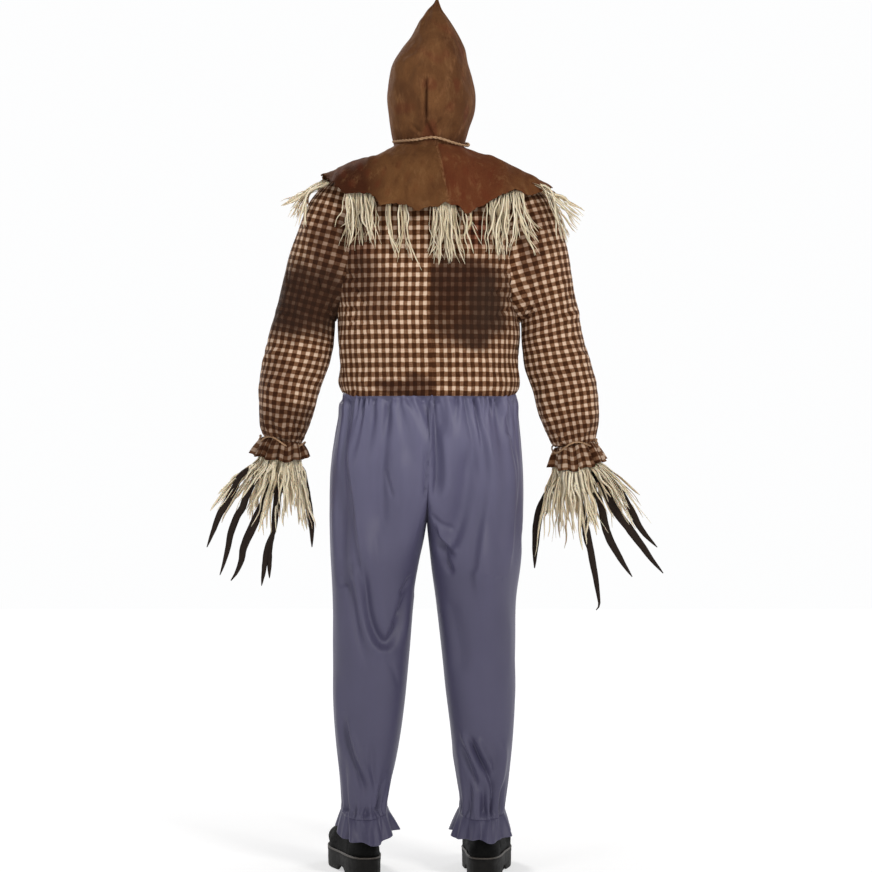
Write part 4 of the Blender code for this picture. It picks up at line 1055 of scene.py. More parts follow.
def sleeves():
    for side, sign in SIDES.items():
        rng = random.Random(21 + sign)
        points, split, uv = sleeve_points(side, sign, rng)
        stains = LEFT_SLEEVE_STAINS if sign > 0 else RIGHT_SLEEVE_STAINS
        tint = stain_tint(points, stains, rng)
        flip = sign < 0
        upper = sheet_mesh(f"{side}_sleeve_top", points[: split + 1], uv[: split + 1], tint[: split + 1], flip=flip)
        lower = sheet_mesh(f"{side}_sleeve_forearm", points[split:], uv[split:], tint[split:], flip=flip)
        finish(upper, "gingham", None)
        finish(lower, "gingham", None)
        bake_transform(upper)
        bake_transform(lower)
        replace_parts(upper, f"{side}_upper_sleeve")
        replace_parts(lower, f"{side}_lower_sleeve")
        cuff(side, sign, rng, points[-1])
        wrist_cord(side, sign)


# The hem's mean distance below the cord, how much longer it is outward, and how much longer at both sides.
CUFF_HEMS = {"left": (0.0385, 0.0060, -0.0060), "right": (0.0465, 0.0010, -0.0070)}


def cuff(side, sign, rng, gathered):
    """The gathered ruffle below the wrist cord. gathered is the sleeve's last ring."""
    _, along, across, deep = forearm_axes(sign)
    rows, columns = 24, ARM_COLUMNS
    centre = gathered.mean(axis=0)
    ring = gathered - centre
    angle = np.arctan2(ring @ deep, ring @ across)
    t = np.linspace(0, 1, rows)[:, None]
    flare = 0.0395 + 0.0170 * t**0.7
    ripple = np.zeros((rows, columns))
    for lobes, size in ((17, 0.0032), (26, 0.0026), (11, 0.0034), (7, 0.0028)):
        ripple += size * np.sin(lobes * angle + rng.uniform(0, TAU) + 0.8 * t)
    radius = flare + ripple * (0.25 + 0.75 * t**0.8)
    mean, outward, sides = CUFF_HEMS[side]
    hem = mean + outward * np.cos(angle) + sides * np.cos(2 * angle)
    hem = hem + 0.0016 * np.sin(3 * angle + 1.1) + 0.0022 * np.sin(9 * angle + rng.uniform(0, TAU))
    reach = hem[None, :] * t
    start = centre + along * 0.001
    points = (
        start
        + across * (radius * np.cos(angle))[..., None]
        + deep * (radius * np.sin(angle))[..., None]
        + along * reach[..., None]
    )
    s = (np.arange(columns + 1) / columns - 0.5) * TAU * 0.062
    uv = np.stack(
        np.broadcast_arrays(sign * s[None, :], np.append(hem, hem[0])[None, :] * (1 - t) - 1.2560), axis=2
    )
    tint = stain_tint(points, [], rng)
    tint[..., 0] = np.clip(tint[..., 0] + (0.60 if sign > 0 else 0.30), 0, 1)
    ruffle = sheet_mesh(f"{side}_cuff_ruffle", points, uv, tint, flip=sign < 0, thickness=THICKNESS["cuff"])
    finish(ruffle, "gingham", f"{side}_forearm")


def wrist_cord(side, sign):
    elbow, along, across, deep = forearm_axes(sign)
    turns = np.linspace(0, TAU, 64, endpoint=False)
    wave = 0.0035 + 0.0080 * np.sin(3 * turns + 0.9 + 0.8 * sign)
    radius = 0.0462
    reach = 0.2215 if sign > 0 else 0.2295
    ring = (
        elbow
        + across * (radius * np.cos(turns))[:, None]
        + deep * (radius * np.sin(turns))[:, None]
        + along * (reach + wave)[:, None]
    )
    cord = finish(rope(f"{side}_wrist_tie", ring, WRIST_CORD * 0.8, closed=True), "cord", f"{side}_forearm")
    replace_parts(cord, f"{side}_wrist_cord")
    at = elbow + across * radius * 0.98 + along * reach
    loop = np.stack(
        [
            at + deep * (0.006 * math.sin(a)) + along * (0.006 * math.cos(a) + 0.002) + across * (
                0.003 + 0.002 * math.sin(2 * a)
            ) for a in turns[::3]
        ]
    )
    finish(rope(f"{side}_wrist_knot", loop, WRIST_CORD * 0.7, closed=True), "cord", f"{side}_forearm")


# Each leg's outer and inner x at a height, and its half depth.
LEG_OUTLINE = {
    "left": [
        (0.110, 0.180, 0.086, 0.053),
        (0.136, 0.1815, 0.0835, 0.057),
        (0.189, 0.1848, 0.0746, 0.064),
        (0.270, 0.1915, 0.0600, 0.071),
        (0.357, 0.1974, 0.0483, 0.077),
        (0.460, 0.1985, 0.0385, 0.083),
        (0.567, 0.1995, 0.0294, 0.090),
        (0.651, 0.2037, 0.0174, 0.098),
        (0.737, 0.2065, 0.0024, 0.106),
        (0.804, 0.2071, -0.0005, 0.124),
        (0.845, 0.2058, -0.0020, 0.129),
        (0.900, 0.1985, -0.0048, 0.131),
        (0.950, 0.1912, -0.0068, 0.127),
        (0.9900, 0.1850, -0.0084, 0.1205),
        (1.002, 0.1770, -0.0088, 0.1120),
        (1.006, 0.1700, -0.0090, 0.1060),
    ],
    "right": [
        (0.110, -0.157, -0.066, 0.053),
        (0.136, -0.160, -0.0645, 0.057),
        (0.189, -0.1680, -0.0599, 0.064),
        (0.270, -0.1760, -0.0500, 0.071),
        (0.357, -0.1817, -0.0399, 0.077),
        (0.460, -0.1825, -0.0290, 0.083),
        (0.567, -0.1848, -0.0168, 0.090),
        (0.651, -0.1953, -0.0050, 0.098),
        (0.737, -0.2000, 0.0018, 0.106),
        (0.804, -0.2006, -0.0005, 0.124),
        (0.845, -0.1998, -0.0020, 0.129),
        (0.900, -0.1965, -0.0048, 0.131),
        (0.950, -0.1920, -0.0068, 0.127),
        (0.9900, -0.1880, -0.0084, 0.1205),
        (1.002, -0.1810, -0.0088, 0.1120),
        (1.006, -0.1740, -0.0090, 0.1060),
    ],
}
FORK_LOW, FORK_HIGH = 0.655, 0.790
ANKLE = 0.1355
ANKLE_TILT = 0.0175
SEAM_OVERLAP = 0.0020
LEG_COLUMNS = 340

# Folds seen on each leg's back: the line of (x, z), how far each falls off on its +x and -x side, and its height.
LEG_FOLDS = {
    "left": [
        (
            [
                (0.1642, 0.9263), (0.1549, 0.8236), (0.1446, 0.7415), (0.1354, 0.6593), (0.1354, 0.6407),
                (0.1292, 0.574)
            ],
            0.006, 0.032, 0.0085
        ),
        (
            [
                (0.1883, 0.8596), (0.1832, 0.7415), (0.178, 0.6182), (0.1652, 0.5997), (0.1395, 0.4816),
                (0.1113, 0.4097)
            ],
            0.008, 0.016, -0.007
        ),
        ([(0.196, 0.8134), (0.195, 0.6696), (0.196, 0.5894), (0.1883, 0.4816)], 0.006, 0.014, 0.004),
        (
            [
                (0.1446, 0.7023), (0.1334, 0.6202), (0.1241, 0.5483), (0.1061, 0.5011), (0.083, 0.4841),
                (0.0599, 0.5134), (0.0461, 0.5586), (0.0204, 0.6459)
            ],
            0.012, 0.012, -0.0105
        ),
        (
            [
                (0.1549, 0.6715), (0.1446, 0.5894), (0.1318, 0.5175), (0.1113, 0.4739), (0.0805, 0.4651),
                (0.0548, 0.4918)
            ],
            0.012, 0.012, 0.005
        ),
        ([(0.0574, 0.5791), (0.0291, 0.6253)], 0.005, 0.005, -0.0042),
        ([(0.0728, 0.5175), (0.0471, 0.556)], 0.005, 0.005, -0.0042),
        ([(0.0728, 0.9058), (0.0548, 0.8134), (0.0471, 0.7209), (0.0497, 0.6285)], 0.034, 0.026, 0.0075),
        ([(0.0923, 0.9006), (0.0943, 0.8134), (0.0923, 0.7004)], 0.016, 0.012, -0.004),
        ([(0.0882, 0.8442), (0.0728, 0.7928), (0.0666, 0.7825)], 0.004, 0.004, -0.0035),
        ([(0.0019, 0.9006), (0.004, 0.8236), (0.0019, 0.762)], 0.007, 0.004, -0.005),
        ([(0.1806, 0.3429), (0.1652, 0.271), (0.1446, 0.2094), (0.1241, 0.1632)], 0.007, 0.008, -0.006),
        ([(0.1693, 0.3378), (0.1498, 0.271), (0.1241, 0.2094), (0.1036, 0.1632)], 0.008, 0.008, 0.0045),
        ([(0.196, 0.4354), (0.1883, 0.3224), (0.178, 0.1992), (0.1703, 0.1581)], 0.008, 0.01, 0.004),
        ([(0.1164, 0.2916), (0.1113, 0.2146), (0.101, 0.1632)], 0.008, 0.008, -0.0035),
    ],
    "right": [
        (
            [
                (-0.1095, 0.9623), (-0.1193, 0.9212), (-0.1275, 0.8596), (-0.1265, 0.7928), (-0.1162, 0.7158),
                (-0.1069, 0.6388), (-0.1018, 0.6202), (-0.1121, 0.5483)
            ],
            0.01, 0.04, 0.0105
        ),
        (
            [(-0.0915, 0.9109), (-0.0874, 0.8339), (-0.071, 0.7517), (-0.0402, 0.6799), (-0.0248, 0.6388)], 0.024,
            0.016, -0.011
        ),
        ([(-0.0150, 0.9828), (-0.0165, 0.9006), (-0.0165, 0.8236), (-0.0083, 0.762)], 0.0045, 0.016, -0.0085),
        ([(-0.0299, 0.9468), (-0.0402, 0.8442), (-0.0299, 0.762)], 0.01, 0.022, 0.006),
        ([(-0.0022, 0.7517), (-0.0299, 0.7261), (-0.0607, 0.7158)], 0.006, 0.006, -0.004),
        ([(-0.0043, 0.7415), (-0.0186, 0.6927), (-0.0607, 0.6603)], 0.007, 0.007, -0.008),
        ([(-0.0135, 0.7004), (-0.0299, 0.6645), (-0.0546, 0.6208)], 0.006, 0.007, -0.007),
        ([(-0.0197, 0.7209), (-0.0402, 0.6799), (-0.0659, 0.6747)], 0.008, 0.008, 0.004),
        (
            [(-0.187, 0.9006), (-0.1819, 0.8236), (-0.1737, 0.7415), (-0.166, 0.6388), (-0.1583, 0.6202)], 0.02,
            0.006, 0.006
        ),
        ([(-0.1686, 0.9623), (-0.1716, 0.9058)], 0.006, 0.006, -0.0045),
        ([(-0.0792, 0.3019), (-0.0998, 0.2556), (-0.1275, 0.2094), (-0.1449, 0.1684)], 0.006, 0.007, -0.0075),
        ([(-0.0967, 0.2967), (-0.1182, 0.2505), (-0.1388, 0.2094)], 0.007, 0.007, 0.005),
        ([(-0.0638, 0.2813), (-0.0833, 0.2248), (-0.1069, 0.1684)], 0.006, 0.007, -0.006),
        ([(-0.0638, 0.3121), (-0.0915, 0.2454), (-0.1203, 0.1786)], 0.006, 0.007, 0.004),
        ([(-0.1532, 0.2916), (-0.1583, 0.2248), (-0.1557, 0.1684)], 0.01, 0.01, 0.004),
        ([(-0.1275, 0.6613), (-0.1275, 0.5483), (-0.1223, 0.4354)], 0.03, 0.04, 0.005),
        ([(-0.0402, 0.5894), (-0.0607, 0.497), (-0.071, 0.4045)], 0.014, 0.022, -0.004),
    ],
}


FOLD_GAIN = 1.45


def leg_points(side, sign, rng):
    table = LEG_OUTLINE[side]
    body_low, body_high = LEG_OUTLINE["right"], LEG_OUTLINE["left"]
    heights = np.concatenate(
        [np.linspace(1.006, 0.994, 6), np.arange(0.991, 0.15, -0.0036), np.linspace(0.149, ANKLE, 7)]
    )
    outer, inner, deep = profile(table, heights)
    high, low = profile(body_high, heights)[0], profile(body_low, heights)[0]
    body_x, body_half = (high + low) / 2, (high - low) / 2
    phi = TAU * (np.arange(LEG_COLUMNS) / LEG_COLUMNS) + math.pi / 2
    c, s = np.cos(phi)[None, :], np.sin(phi)[None, :]
    cx = ((outer + inner) / 2)[:, None]
    cy = np.where(heights < 0.87, 0.05 * (0.87 - heights) / 0.815, 0)[:, None]

    def reach(centre_x, centre_y, half_x, half_y, power):
        """How far the superellipse is from (cx, cy) in each direction."""
        near, far = np.zeros((len(heights), LEG_COLUMNS)), np.full((len(heights), LEG_COLUMNS), 0.5)
        for _ in range(30):
            mid = (near + far) / 2
            x, y = cx + mid * c - centre_x, cy + mid * s - centre_y
            inside = np.abs(x / half_x) ** power + np.abs(y / half_y) ** power < 1
            near, far = np.where(inside, mid, near), np.where(inside, far, mid)
        return np.maximum(near, 0.001)

    half = (np.abs(outer - inner) / 2)[:, None]
    leg = reach(cx, cy, half, deep[:, None], 2.15)
    seat = reach(body_x[:, None], 0 * cy, body_half[:, None], deep[:, None], 2.3)
    toward = -sign * c
    plane = np.where(toward > 0.02, (half + SEAM_OVERLAP) / np.maximum(toward, 0.02), 9.0)
    sharp = (12 + 60 * ease((heights - 0.76) / 0.14))[:, None]
    low_r = np.minimum(seat, plane)
    joined = low_r * ((seat / low_r) ** -sharp + (plane / low_r) ** -sharp) ** (-1 / sharp)
    rise = ease((heights - FORK_LOW) / (FORK_HIGH - FORK_LOW))[:, None]
    radius = leg * (1 - rise) + joined * rise

    tilt = 1 - ease((heights - ANKLE) / 0.11)[:, None]
    z = heights[:, None] - ANKLE_TILT * s * tilt
    x, y = cx + radius * c, cy + radius * s
    points = np.stack([x, y, z], axis=2)
    normal = -grid_normals(points, True)
    girth = radius.mean(axis=1)[:, None] * TAU
    turn = (phi - math.pi / 2)[None, :] / TAU
    signed = np.where(turn < 0.5, turn, turn - 1) * girth
    back = ease((s + 0.05) / 0.35) * np.ones_like(x)
    front = 1 - back

    drop = np.clip(1.0 - z, 0, None)

    def toward_seam(centre):
        return 0.34 * math.exp(-(((sign * centre - 0.055) / 0.045) ** 2)) if sign > 0 else 0.05

    waist = np.mod(signed, 0.56)
    relief = gathers(rng, waist, drop, 0.56, 64, 0.0062, 0.0030, 0.055, toward_seam)
    relief += gathers(rng, waist, drop, 0.56, 30, 0.0080, 0.0040, 0.105, toward_seam)
    relief += gathers(rng, waist, drop, 0.56, 11, 0.0075, 0.0100, 0.190, toward_seam)
    span = float(girth[-1, 0])
    near_ankle = np.clip(heights[:, None] - ANKLE, 0, None) + 0 * x
    relief += gathers(rng, np.mod(turn * span + 0 * x, span), near_ankle, span, 34, 0.0080, 0.0032, 0.042)
    relief += gathers(rng, np.mod(turn * span + 0 * x, span), near_ankle, span, 13, 0.0095, 0.0060, 0.10)
    relief += 0.0013 * waves(rng, signed, z, 0.16)
    for path, plus, minus, depth in LEG_FOLDS[side]:
        relief += FOLD_GAIN * back * fold(x, z, path, plus, minus, depth)
        mirrored = [(sign * 0.205 - a, b - 0.02) for a, b in path]
        relief += 0.8 * FOLD_GAIN * front * fold(x, z, mirrored, minus, plus, depth)
    relief += random_creases(rng, signed, z, (-0.25, 0.25, 0.20, 0.92), 12, 0.110, 0.0090, 0.0016, 0.10)
    relief *= 1 - 0.70 * ease((np.abs(normal[..., 0]) - 0.80) / 0.18)
    wall = 1 - rise * ease((plane / np.maximum(seat, 1e-6) < 1.04).astype(float) * (toward > 0.3))
    relief *= wall * ease((1.001 - z) / 0.008)
    relief *= 0.25 + 0.75 * ease((heights[:, None] - ANKLE) / 0.016)
    points = points + normal * relief[..., None]
    return points, phi


def trousers():
    for side, sign in SIDES.items():
        rng = random.Random(41 + sign)
        points, phi = leg_points(side, sign, rng)
        leg = sheet_mesh(f"{side}_trouser_leg", points, flip=True)
        finish(leg, "trouser_cloth", "torso")
        if sign > 0:
            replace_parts(leg, "trousers")
        ankle_ruffle(side, sign, rng, points[-1], phi)


def ankle_ruffle(side, sign, rng, gathered, phi):
    """The loose hem below the ankle elastic, longer at the heel."""
    rows = 26
    centre = gathered.mean(axis=0)
    outer, inner = (0.1930, 0.063) if sign > 0 else (-0.1735, -0.0440)
    hem_x, hem_half = (outer + inner) / 2, abs(outer - inner) / 2
    t = np.linspace(0, 1, rows)[:, None]
    c, s = np.cos(phi)[None, :], np.sin(phi)[None, :]
    hem_z = 0.092 - 0.018 * s + 0.004 * np.sin(2 * phi + sign) + 0.003 * np.sin(5 * phi + 1)
    ripple = np.zeros((1, LEG_COLUMNS))
    for lobes, size in ((9, 0.0048), (13, 0.0036), (19, 0.0018), (5, 0.0022)):
        ripple = ripple + size * np.sin(lobes * phi + rng.uniform(0, TAU))
    grow = t**0.85
    start = gathered[None, :, :]
    end_x = hem_x + (hem_half - 0.004 + ripple) * c
    end_y = centre[1] + (0.081 + ripple) * s
    x = start[..., 0] * (1 - grow) + end_x * grow
    y = start[..., 1] * (1 - grow) + end_y * grow
    z = start[..., 2] * (1 - t) + hem_z * t
    z = z + 0.0012 * np.sin(9 * phi) * t
    points = np.stack(np.broadcast_arrays(x, y, z), axis=2)
    ruffle = sheet_mesh(f"{side}_ankle_ruffle", points, flip=True, thickness=THICKNESS["ankle"])
    finish(ruffle, "trouser_cloth", "torso")


# ---------------------------------------------------------------- head

# Height, left and right x of the hood's outline, and its half depth.
HOOD_OUTLINE = [
    (1.500, 0.068, -0.074, 0.078),
    (1.5290, 0.0735, -0.0775, 0.083),
    (1.5400, 0.0757, -0.0810, 0.087),
    (1.5593, 0.0790, -0.0876, 0.094),
    (1.5860, 0.0828, -0.0962, 0.101),
    (1.6230, 0.0857, -0.1002, 0.107),
    (1.6400, 0.0848, -0.0980, 0.107),
    (1.6601, 0.0825, -0.0930, 0.104),
    (1.6916, 0.0746, -0.0846, 0.097),
    (1.7231, 0.0557, -0.0775, 0.086),
    (1.7483, 0.0368, -0.0665, 0.072),
    (1.7720, 0.0235, -0.0535, 0.055),
    (1.7900, 0.0120, -0.0410, 0.038),
    (1.8070, 0.0000, -0.0285, 0.019),
    (1.8200, -0.0125, -0.0235, 0.008),
    (1.8275, -0.0175, -0.0215, 0.0025),
]
HOOD_CENTRE_Y = -0.002
FACE_OPENING = (-0.004, 1.632, 0.054, 0.066)


def hood():
    rng = random.Random(61)
    heights = np.concatenate([np.arange(1.500, 1.80, 0.0029), np.linspace(1.8015, 1.8275, 14)])
    left, right, deep = profile(HOOD_OUTLINE, heights)
    cx, half = ((left + right) / 2)[:, None], ((left - right) / 2)[:, None]
    _, open_z, open_half, open_high = FACE_OPENING
    wide = open_half * np.sqrt(np.clip(1 - ((heights - open_z) / open_high) ** 2, 0, 1))
    gap = np.arcsin(np.clip(wide[:, None] / half, 0, 0.95))
    columns = 380
    share = np.linspace(0, 1, columns)[None, :]
    front = -math.pi / 2
    angle = front - gap - share * (TAU - 2 * gap)
    c, s = np.cos(angle), np.sin(angle)
    x = cx + half * c
    y = HOOD_CENTRE_Y + deep[:, None] * s
    z = heights[:, None] + 0 * x
    points = np.stack([x, y, z], axis=2)
    normal = -grid_normals(points, False)
    out = points - np.stack([cx + 0 * x, 0 * x + HOOD_CENTRE_Y, z], axis=2)
    normal *= np.sign((normal * out).sum(axis=2, keepdims=True))
    back = ease((s + 0.1) / 0.4)
    ahead = 1 - back

    round_head = np.arctan2(c, s)
    relief = 0.0016 * waves(rng, round_head * 0.09, z, 0.07) + 0.0005 * waves(rng, round_head * 0.09, z, 0.030)
    for start, end, wide_by, high in (
        ((0.004, 1.668), (0.004, 1.542), 0.0030, -0.0085),
        ((0.012, 1.668), (0.012, 1.550), 0.0060, 0.0022),
        ((-0.004, 1.668), (-0.004, 1.556), 0.0060, 0.0016),
        ((0.005, 1.566), (-0.016, 1.522), 0.0034, -0.0066),
        ((0.056, 1.686), (0.004, 1.706), 0.0075, 0.0042),
        ((0.050, 1.670), (0.008, 1.688), 0.0050, -0.0036),
        ((-0.010, 1.722), (-0.046, 1.744), 0.0100, 0.0026),
        ((0.010, 1.790), (0.020, 1.735), 0.0060, 0.0020),
        ((0.030, 1.680), (0.046, 1.630), 0.0080, -0.0028),
        ((0.026, 1.672), (0.028, 1.620), 0.0100, 0.0026),
        ((-0.060, 1.690), (-0.040, 1.640), 0.0100, -0.0026),
        ((0.042, 1.560), (0.012, 1.538), 0.0042, -0.0046),
        ((0.040, 1.551), (0.016, 1.534), 0.0036, 0.0026),
        ((0.052, 1.580), (0.020, 1.556), 0.0055, -0.0026),
        ((-0.030, 1.570), (-0.014, 1.535), 0.0050, -0.0036),
        ((-0.060, 1.560), (-0.035, 1.535), 0.0055, -0.0030),
    ):
        relief += back * crease(x, z, start, end, wide_by, high)
    relief += ahead * crease(x, z, (-0.004, 1.800), (-0.004, 1.698), 0.0030, -0.0030)
    for k in range(9):
        at = -1.4 + 0.35 * k + rng.uniform(-0.08, 0.08)
        relief -= 0.0026 * np.exp(-(((round_head - at) / 0.07) ** 2)) * np.exp(-(((z - 1.526) / 0.018) ** 2))
    relief *= 1 - 0.75 * np.abs(c) ** 8
    points = points + normal * relief[..., None]

    tint = np.zeros(points.shape[:2] + (4,))
    # Share of dark, mostly painted shade: along the back seam's groove, over the hood's right (-x) side, and at the
    # neck below 1.545 m under the cord, with random blotches of darker cloth.
    seam = np.exp(-(((x - 0.004 + 0.56 * np.clip(1.556 - z, 0, 1)) / 0.0026) ** 2))
    seam = seam * back * ease((1.655 - z) / 0.012)
    blotches_and_right_side_shade = 0.35 * ease(-waves(rng, x, z, 0.08)) + 0.40 * back * ease((-x - 0.01) / 0.06)
    tint[..., 0] = np.clip(0.75 * seam + blotches_and_right_side_shade + 0.5 * ease((1.545 - z) / 0.02), 0, 1)
    tint[..., 1] = 0.55 * ease(waves(rng, x + y, z, 0.06) - 0.35)
    tint[..., 2] = 0.30 * ease(waves(rng, x, z + y, 0.05) - 0.2) * back
    tint[..., 3] = 1
    cloth = sheet_mesh("hood_cloth", points, None, tint, closed=False, flip=True, thickness=THICKNESS["hood"])
    finish(cloth, "hood", "head")
    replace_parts(cloth, "hood")

    rows = np.where(wide > 0.004)[0]
    edge_a, edge_b = points[rows, 0], points[rows, -1]
    loop = np.vstack([edge_a, edge_b[::-1]])
    vertices, faces = tube_parts(loop, 0.0032, 10, closed=True)
    hem = make_mesh("hood_face_hem", vertices, faces, tint=np.tile([0.35, 0.2, 0.2, 1.0], (len(vertices), 1)))
    finish(hem, "hood", "head")


HEAD_CENTRE = (-0.004, -0.010, 1.645)
HEAD_RADII = (0.070, 0.086, 0.100)


def head_point(turn, z, lift):
    """A point on the head form, at an angle round it and a height."""
    ring = math.sqrt(max(0.0, 1 - ((z - HEAD_CENTRE[2]) / HEAD_RADII[2]) ** 2))
    x = HEAD_CENTRE[0] + (HEAD_RADII[0] * ring + lift) * math.cos(turn)
    y = HEAD_CENTRE[1] + (HEAD_RADII[1] * ring + lift) * math.sin(turn)
    return x, y, z


def face_mask():
    """A plain sack face: a stitched nose and mouth, a brow fold, and two buttons for eyes."""
    rows, columns = 110, 130
    heights = np.linspace(1.556, 1.702, rows)
    turns = np.radians(np.linspace(206, 334, columns))
    points = np.array([[head_point(a, z, 0.0042) for a in turns] for z in heights])
    x, z = points[..., 0] - HEAD_CENTRE[0], points[..., 2]
    rng = random.Random(71)
    normal = grid_normals(points, False)
    normal *= np.where(normal[..., 1:2] > 0, -1, 1)
    relief = 0.0009 * waves(rng, x, z, 0.03)
    relief += 0.0085 * np.exp(-((x / 0.0085) ** 2)) * np.exp(-(((z - 1.640) / 0.0155) ** 2))
    relief += 0.0035 * np.exp(-((x / 0.0060) ** 2)) * np.exp(-(((z - 1.662) / 0.016) ** 2))
    for side in (-1, 1):
        relief -= 0.0036 * np.exp(-(((x - side * 0.026) / 0.012) ** 2) - ((z - 1.663) / 0.009) ** 2)
        relief += 0.0022 * np.exp(-(((x - side * 0.026) / 0.017) ** 2) - ((z - 1.679) / 0.006) ** 2)
        relief += 0.0026 * np.exp(-(((x - side * 0.030) / 0.014) ** 2) - ((z - 1.630) / 0.014) ** 2)
    relief -= 0.0024 * np.exp(-(((z - 1.6075 - 6.0 * x**2) / 0.0024) ** 2)) * ease((0.029 - np.abs(x)) / 0.006)
    relief += 0.0018 * np.exp(-(((z - 1.600) / 0.0065) ** 2)) * np.exp(-((x / 0.018) ** 2))
    relief += 0.0026 * np.exp(-(((z - 1.583) / 0.012) ** 2)) * np.exp(-((x / 0.022) ** 2))
    points = points + normal * relief[..., None]
    uv = np.stack(np.broadcast_arrays(np.cumsum(np.full(columns, 0.00135))[None, :], heights[:, None]), axis=2)
    tint = np.zeros((rows, columns, 4))
    # Painted shade in the two eye hollows, with random blotches of darker sacking.
    eye_hollow_shade = sum(np.exp(-(((x - k * 0.026) / 0.016) ** 2) - ((z - 1.663) / 0.011) ** 2) for k in (-1, 1))
    tint[..., 0] = np.clip(0.5 * eye_hollow_shade + 0.3 * ease(waves(rng, x, z, 0.05)), 0, 1)
    tint[..., 3] = 1
    mask = sheet_mesh("sack_face", points, uv, tint, closed=False, thickness=THICKNESS["mask"])
    finish(mask, "mask_cloth", "head")
    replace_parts(mask, "face_mask")

    def on_mask(px, pz, lift):
        best = np.argmin((points[..., 0] - HEAD_CENTRE[0] - px) ** 2 + (points[..., 2] - pz) ** 2)
        i, j = divmod(int(best), columns)
        return points[i, j] + normal[i, j] * lift

    mouth = [on_mask(px, 1.6075 + 6.0 * px**2, 0.0006) for px in np.linspace(-0.029, 0.029, 30)]
    stitches = [smooth_path([tuple(p) for p in mouth], 40)]
    for px in np.linspace(-0.024, 0.024, 5):
        pz = 1.6075 + 6.0 * px**2
        marks = [
            tuple(on_mask(px, pz + dz, lift)) for dz, lift in ((-0.0060, 0.0004), (0, 0.0018), (0.0060, 0.0004))
        ]
        stitches.append(smooth_path(marks, 9))
    nose = [(-0.009, 1.636), (-0.004, 1.6290), (0.004, 1.6290), (0.009, 1.636)]
    stitches.append(smooth_path([tuple(on_mask(px, pz, 0.0006)) for px, pz in nose], 20))
    thread = tubes("face_stitches", stitches, 0.0011, 7)
    finish(thread, "thread", "head")

    for side, sign in SIDES.items():
        centre = on_mask(sign * 0.026, 1.662, 0.0018)
        eye_button(side, sign, centre)


def eye_button(side, sign, centre):
    """A four-hole button with a raised rim, sewn on with crossed thread."""
    outward = Vector((sign * 0.30, -0.95, 0.02)).normalized()
    frame = outward.to_track_quat("Z", "Y").to_matrix()
    profile_rows = [
        (0.0, 0.0010), (0.0022, 0.0010), (0.0056, 0.0011), (0.0068, 0.0018), (0.0080, 0.0021), (0.0092, 0.0016),
        (0.0096, 0.0004), (0.0090, -0.0008), (0.0, -0.0010)
    ]
    count = 40
    vertices, faces = [], []
    rings = profile_rows[1:-1]
    for radius, height in rings:
        for k in range(count):
            a = TAU * k / count
            local = Vector((radius * math.cos(a), radius * math.sin(a), height))
            vertices.append(Vector(centre) + frame @ local)
    for i in range(len(rings) - 1):
        for k in range(count):
            n = (k + 1) % count
            faces.append((i * count + k, (i + 1) * count + k, (i + 1) * count + n, i * count + n))
    faces.append(tuple(range(count)))
    faces.append(tuple((len(rings) - 1) * count + k for k in range(count))[::-1])
    button = make_mesh(f"{side}_button_eye", vertices, faces)
    finish(button, "button", "head")
    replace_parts(button, f"{side}_eye_button")
    loops = []
    for a, b in (((-1, -1), (1, 1)), ((-1, 1), (1, -1))):
        route = [
            Vector((0.0019 * a[0], 0.0019 * a[1], 0.0008)), Vector((0, 0, 0.0020)),
            Vector((0.0019 * b[0], 0.0019 * b[1], 0.0008))
        ]
        loops.append(smooth_path([tuple(Vector(centre) + frame @ p) for p in route], 9))
    finish(tubes(f"{side}_button_thread", loops, 0.0006, 6), "thread", "head")


# Half width, half depth, centre y, and heights at the sides and at the middle of the cape from neck to edge.
CAPE_RINGS = [
    (0.066, 0.068, 0.000, 1.5235, 1.5215),
    (0.078, 0.080, 0.000, 1.5190, 1.5165),
    (0.105, 0.092, 0.001, 1.5080, 1.5035),
    (0.140, 0.106, 0.002, 1.4975, 1.4880),
    (0.175, 0.119, 0.004, 1.4840, 1.4610),
    (0.203, 0.131, 0.005, 1.4730, 1.4300),
    (0.228, 0.140, 0.006, 1.4620, 1.4030),
    (0.249, 0.148, 0.007, 1.4500, 1.3780),
    (0.264, 0.153, 0.008, 1.4360, 1.3520),
]
CAPE_EDGE = [
    (-0.2900, 1.395), (-0.2604, 1.4322), (-0.2352, 1.4196), (-0.2121, 1.4112), (-0.1785, 1.4196), (-0.1344, 1.3986),
    (-0.1008, 1.3797), (-0.0798, 1.3650), (-0.0630, 1.3839), (-0.0315, 1.3902), (-0.0063, 1.3839), (0.0189, 1.3734),
    (0.0630, 1.3902), (0.0966, 1.3860), (0.1113, 1.4070), (0.1386, 1.4154), (0.1701, 1.4112), (0.1960, 1.4364),
    (0.2070, 1.4500), (0.2160, 1.4600), (0.2300, 1.4700), (0.2600, 1.4780),
]
CAPE_TILT = [
    (-0.30, -0.0105), (-0.20, -0.0060), (-0.10, -0.0040), (0.0, 0.0), (0.10, -0.0040), (0.20, -0.0060),
    (0.30, -0.0095)
]


def cape_surface(angle, t):
    """Points on the cape's surface at angles round the neck and shares of the way to its outermost ring."""
    rows = [(k / (len(CAPE_RINGS) - 1), *ring) for k, ring in enumerate(CAPE_RINGS)]
    half, deep, cy, side_z, mid_z = profile(rows, t)
    c, s = np.cos(angle), np.sin(angle)
    x = half * c
    y = cy + deep * np.sign(s) * np.abs(s) ** 0.92
    blend = np.abs(c) ** 1.8
    z = mid_z + (side_z - mid_z) * blend
    tilt = np.interp(x, [row[0] for row in CAPE_TILT], [row[1] for row in CAPE_TILT])
    return x, y, z + tilt * ease(t * 2)


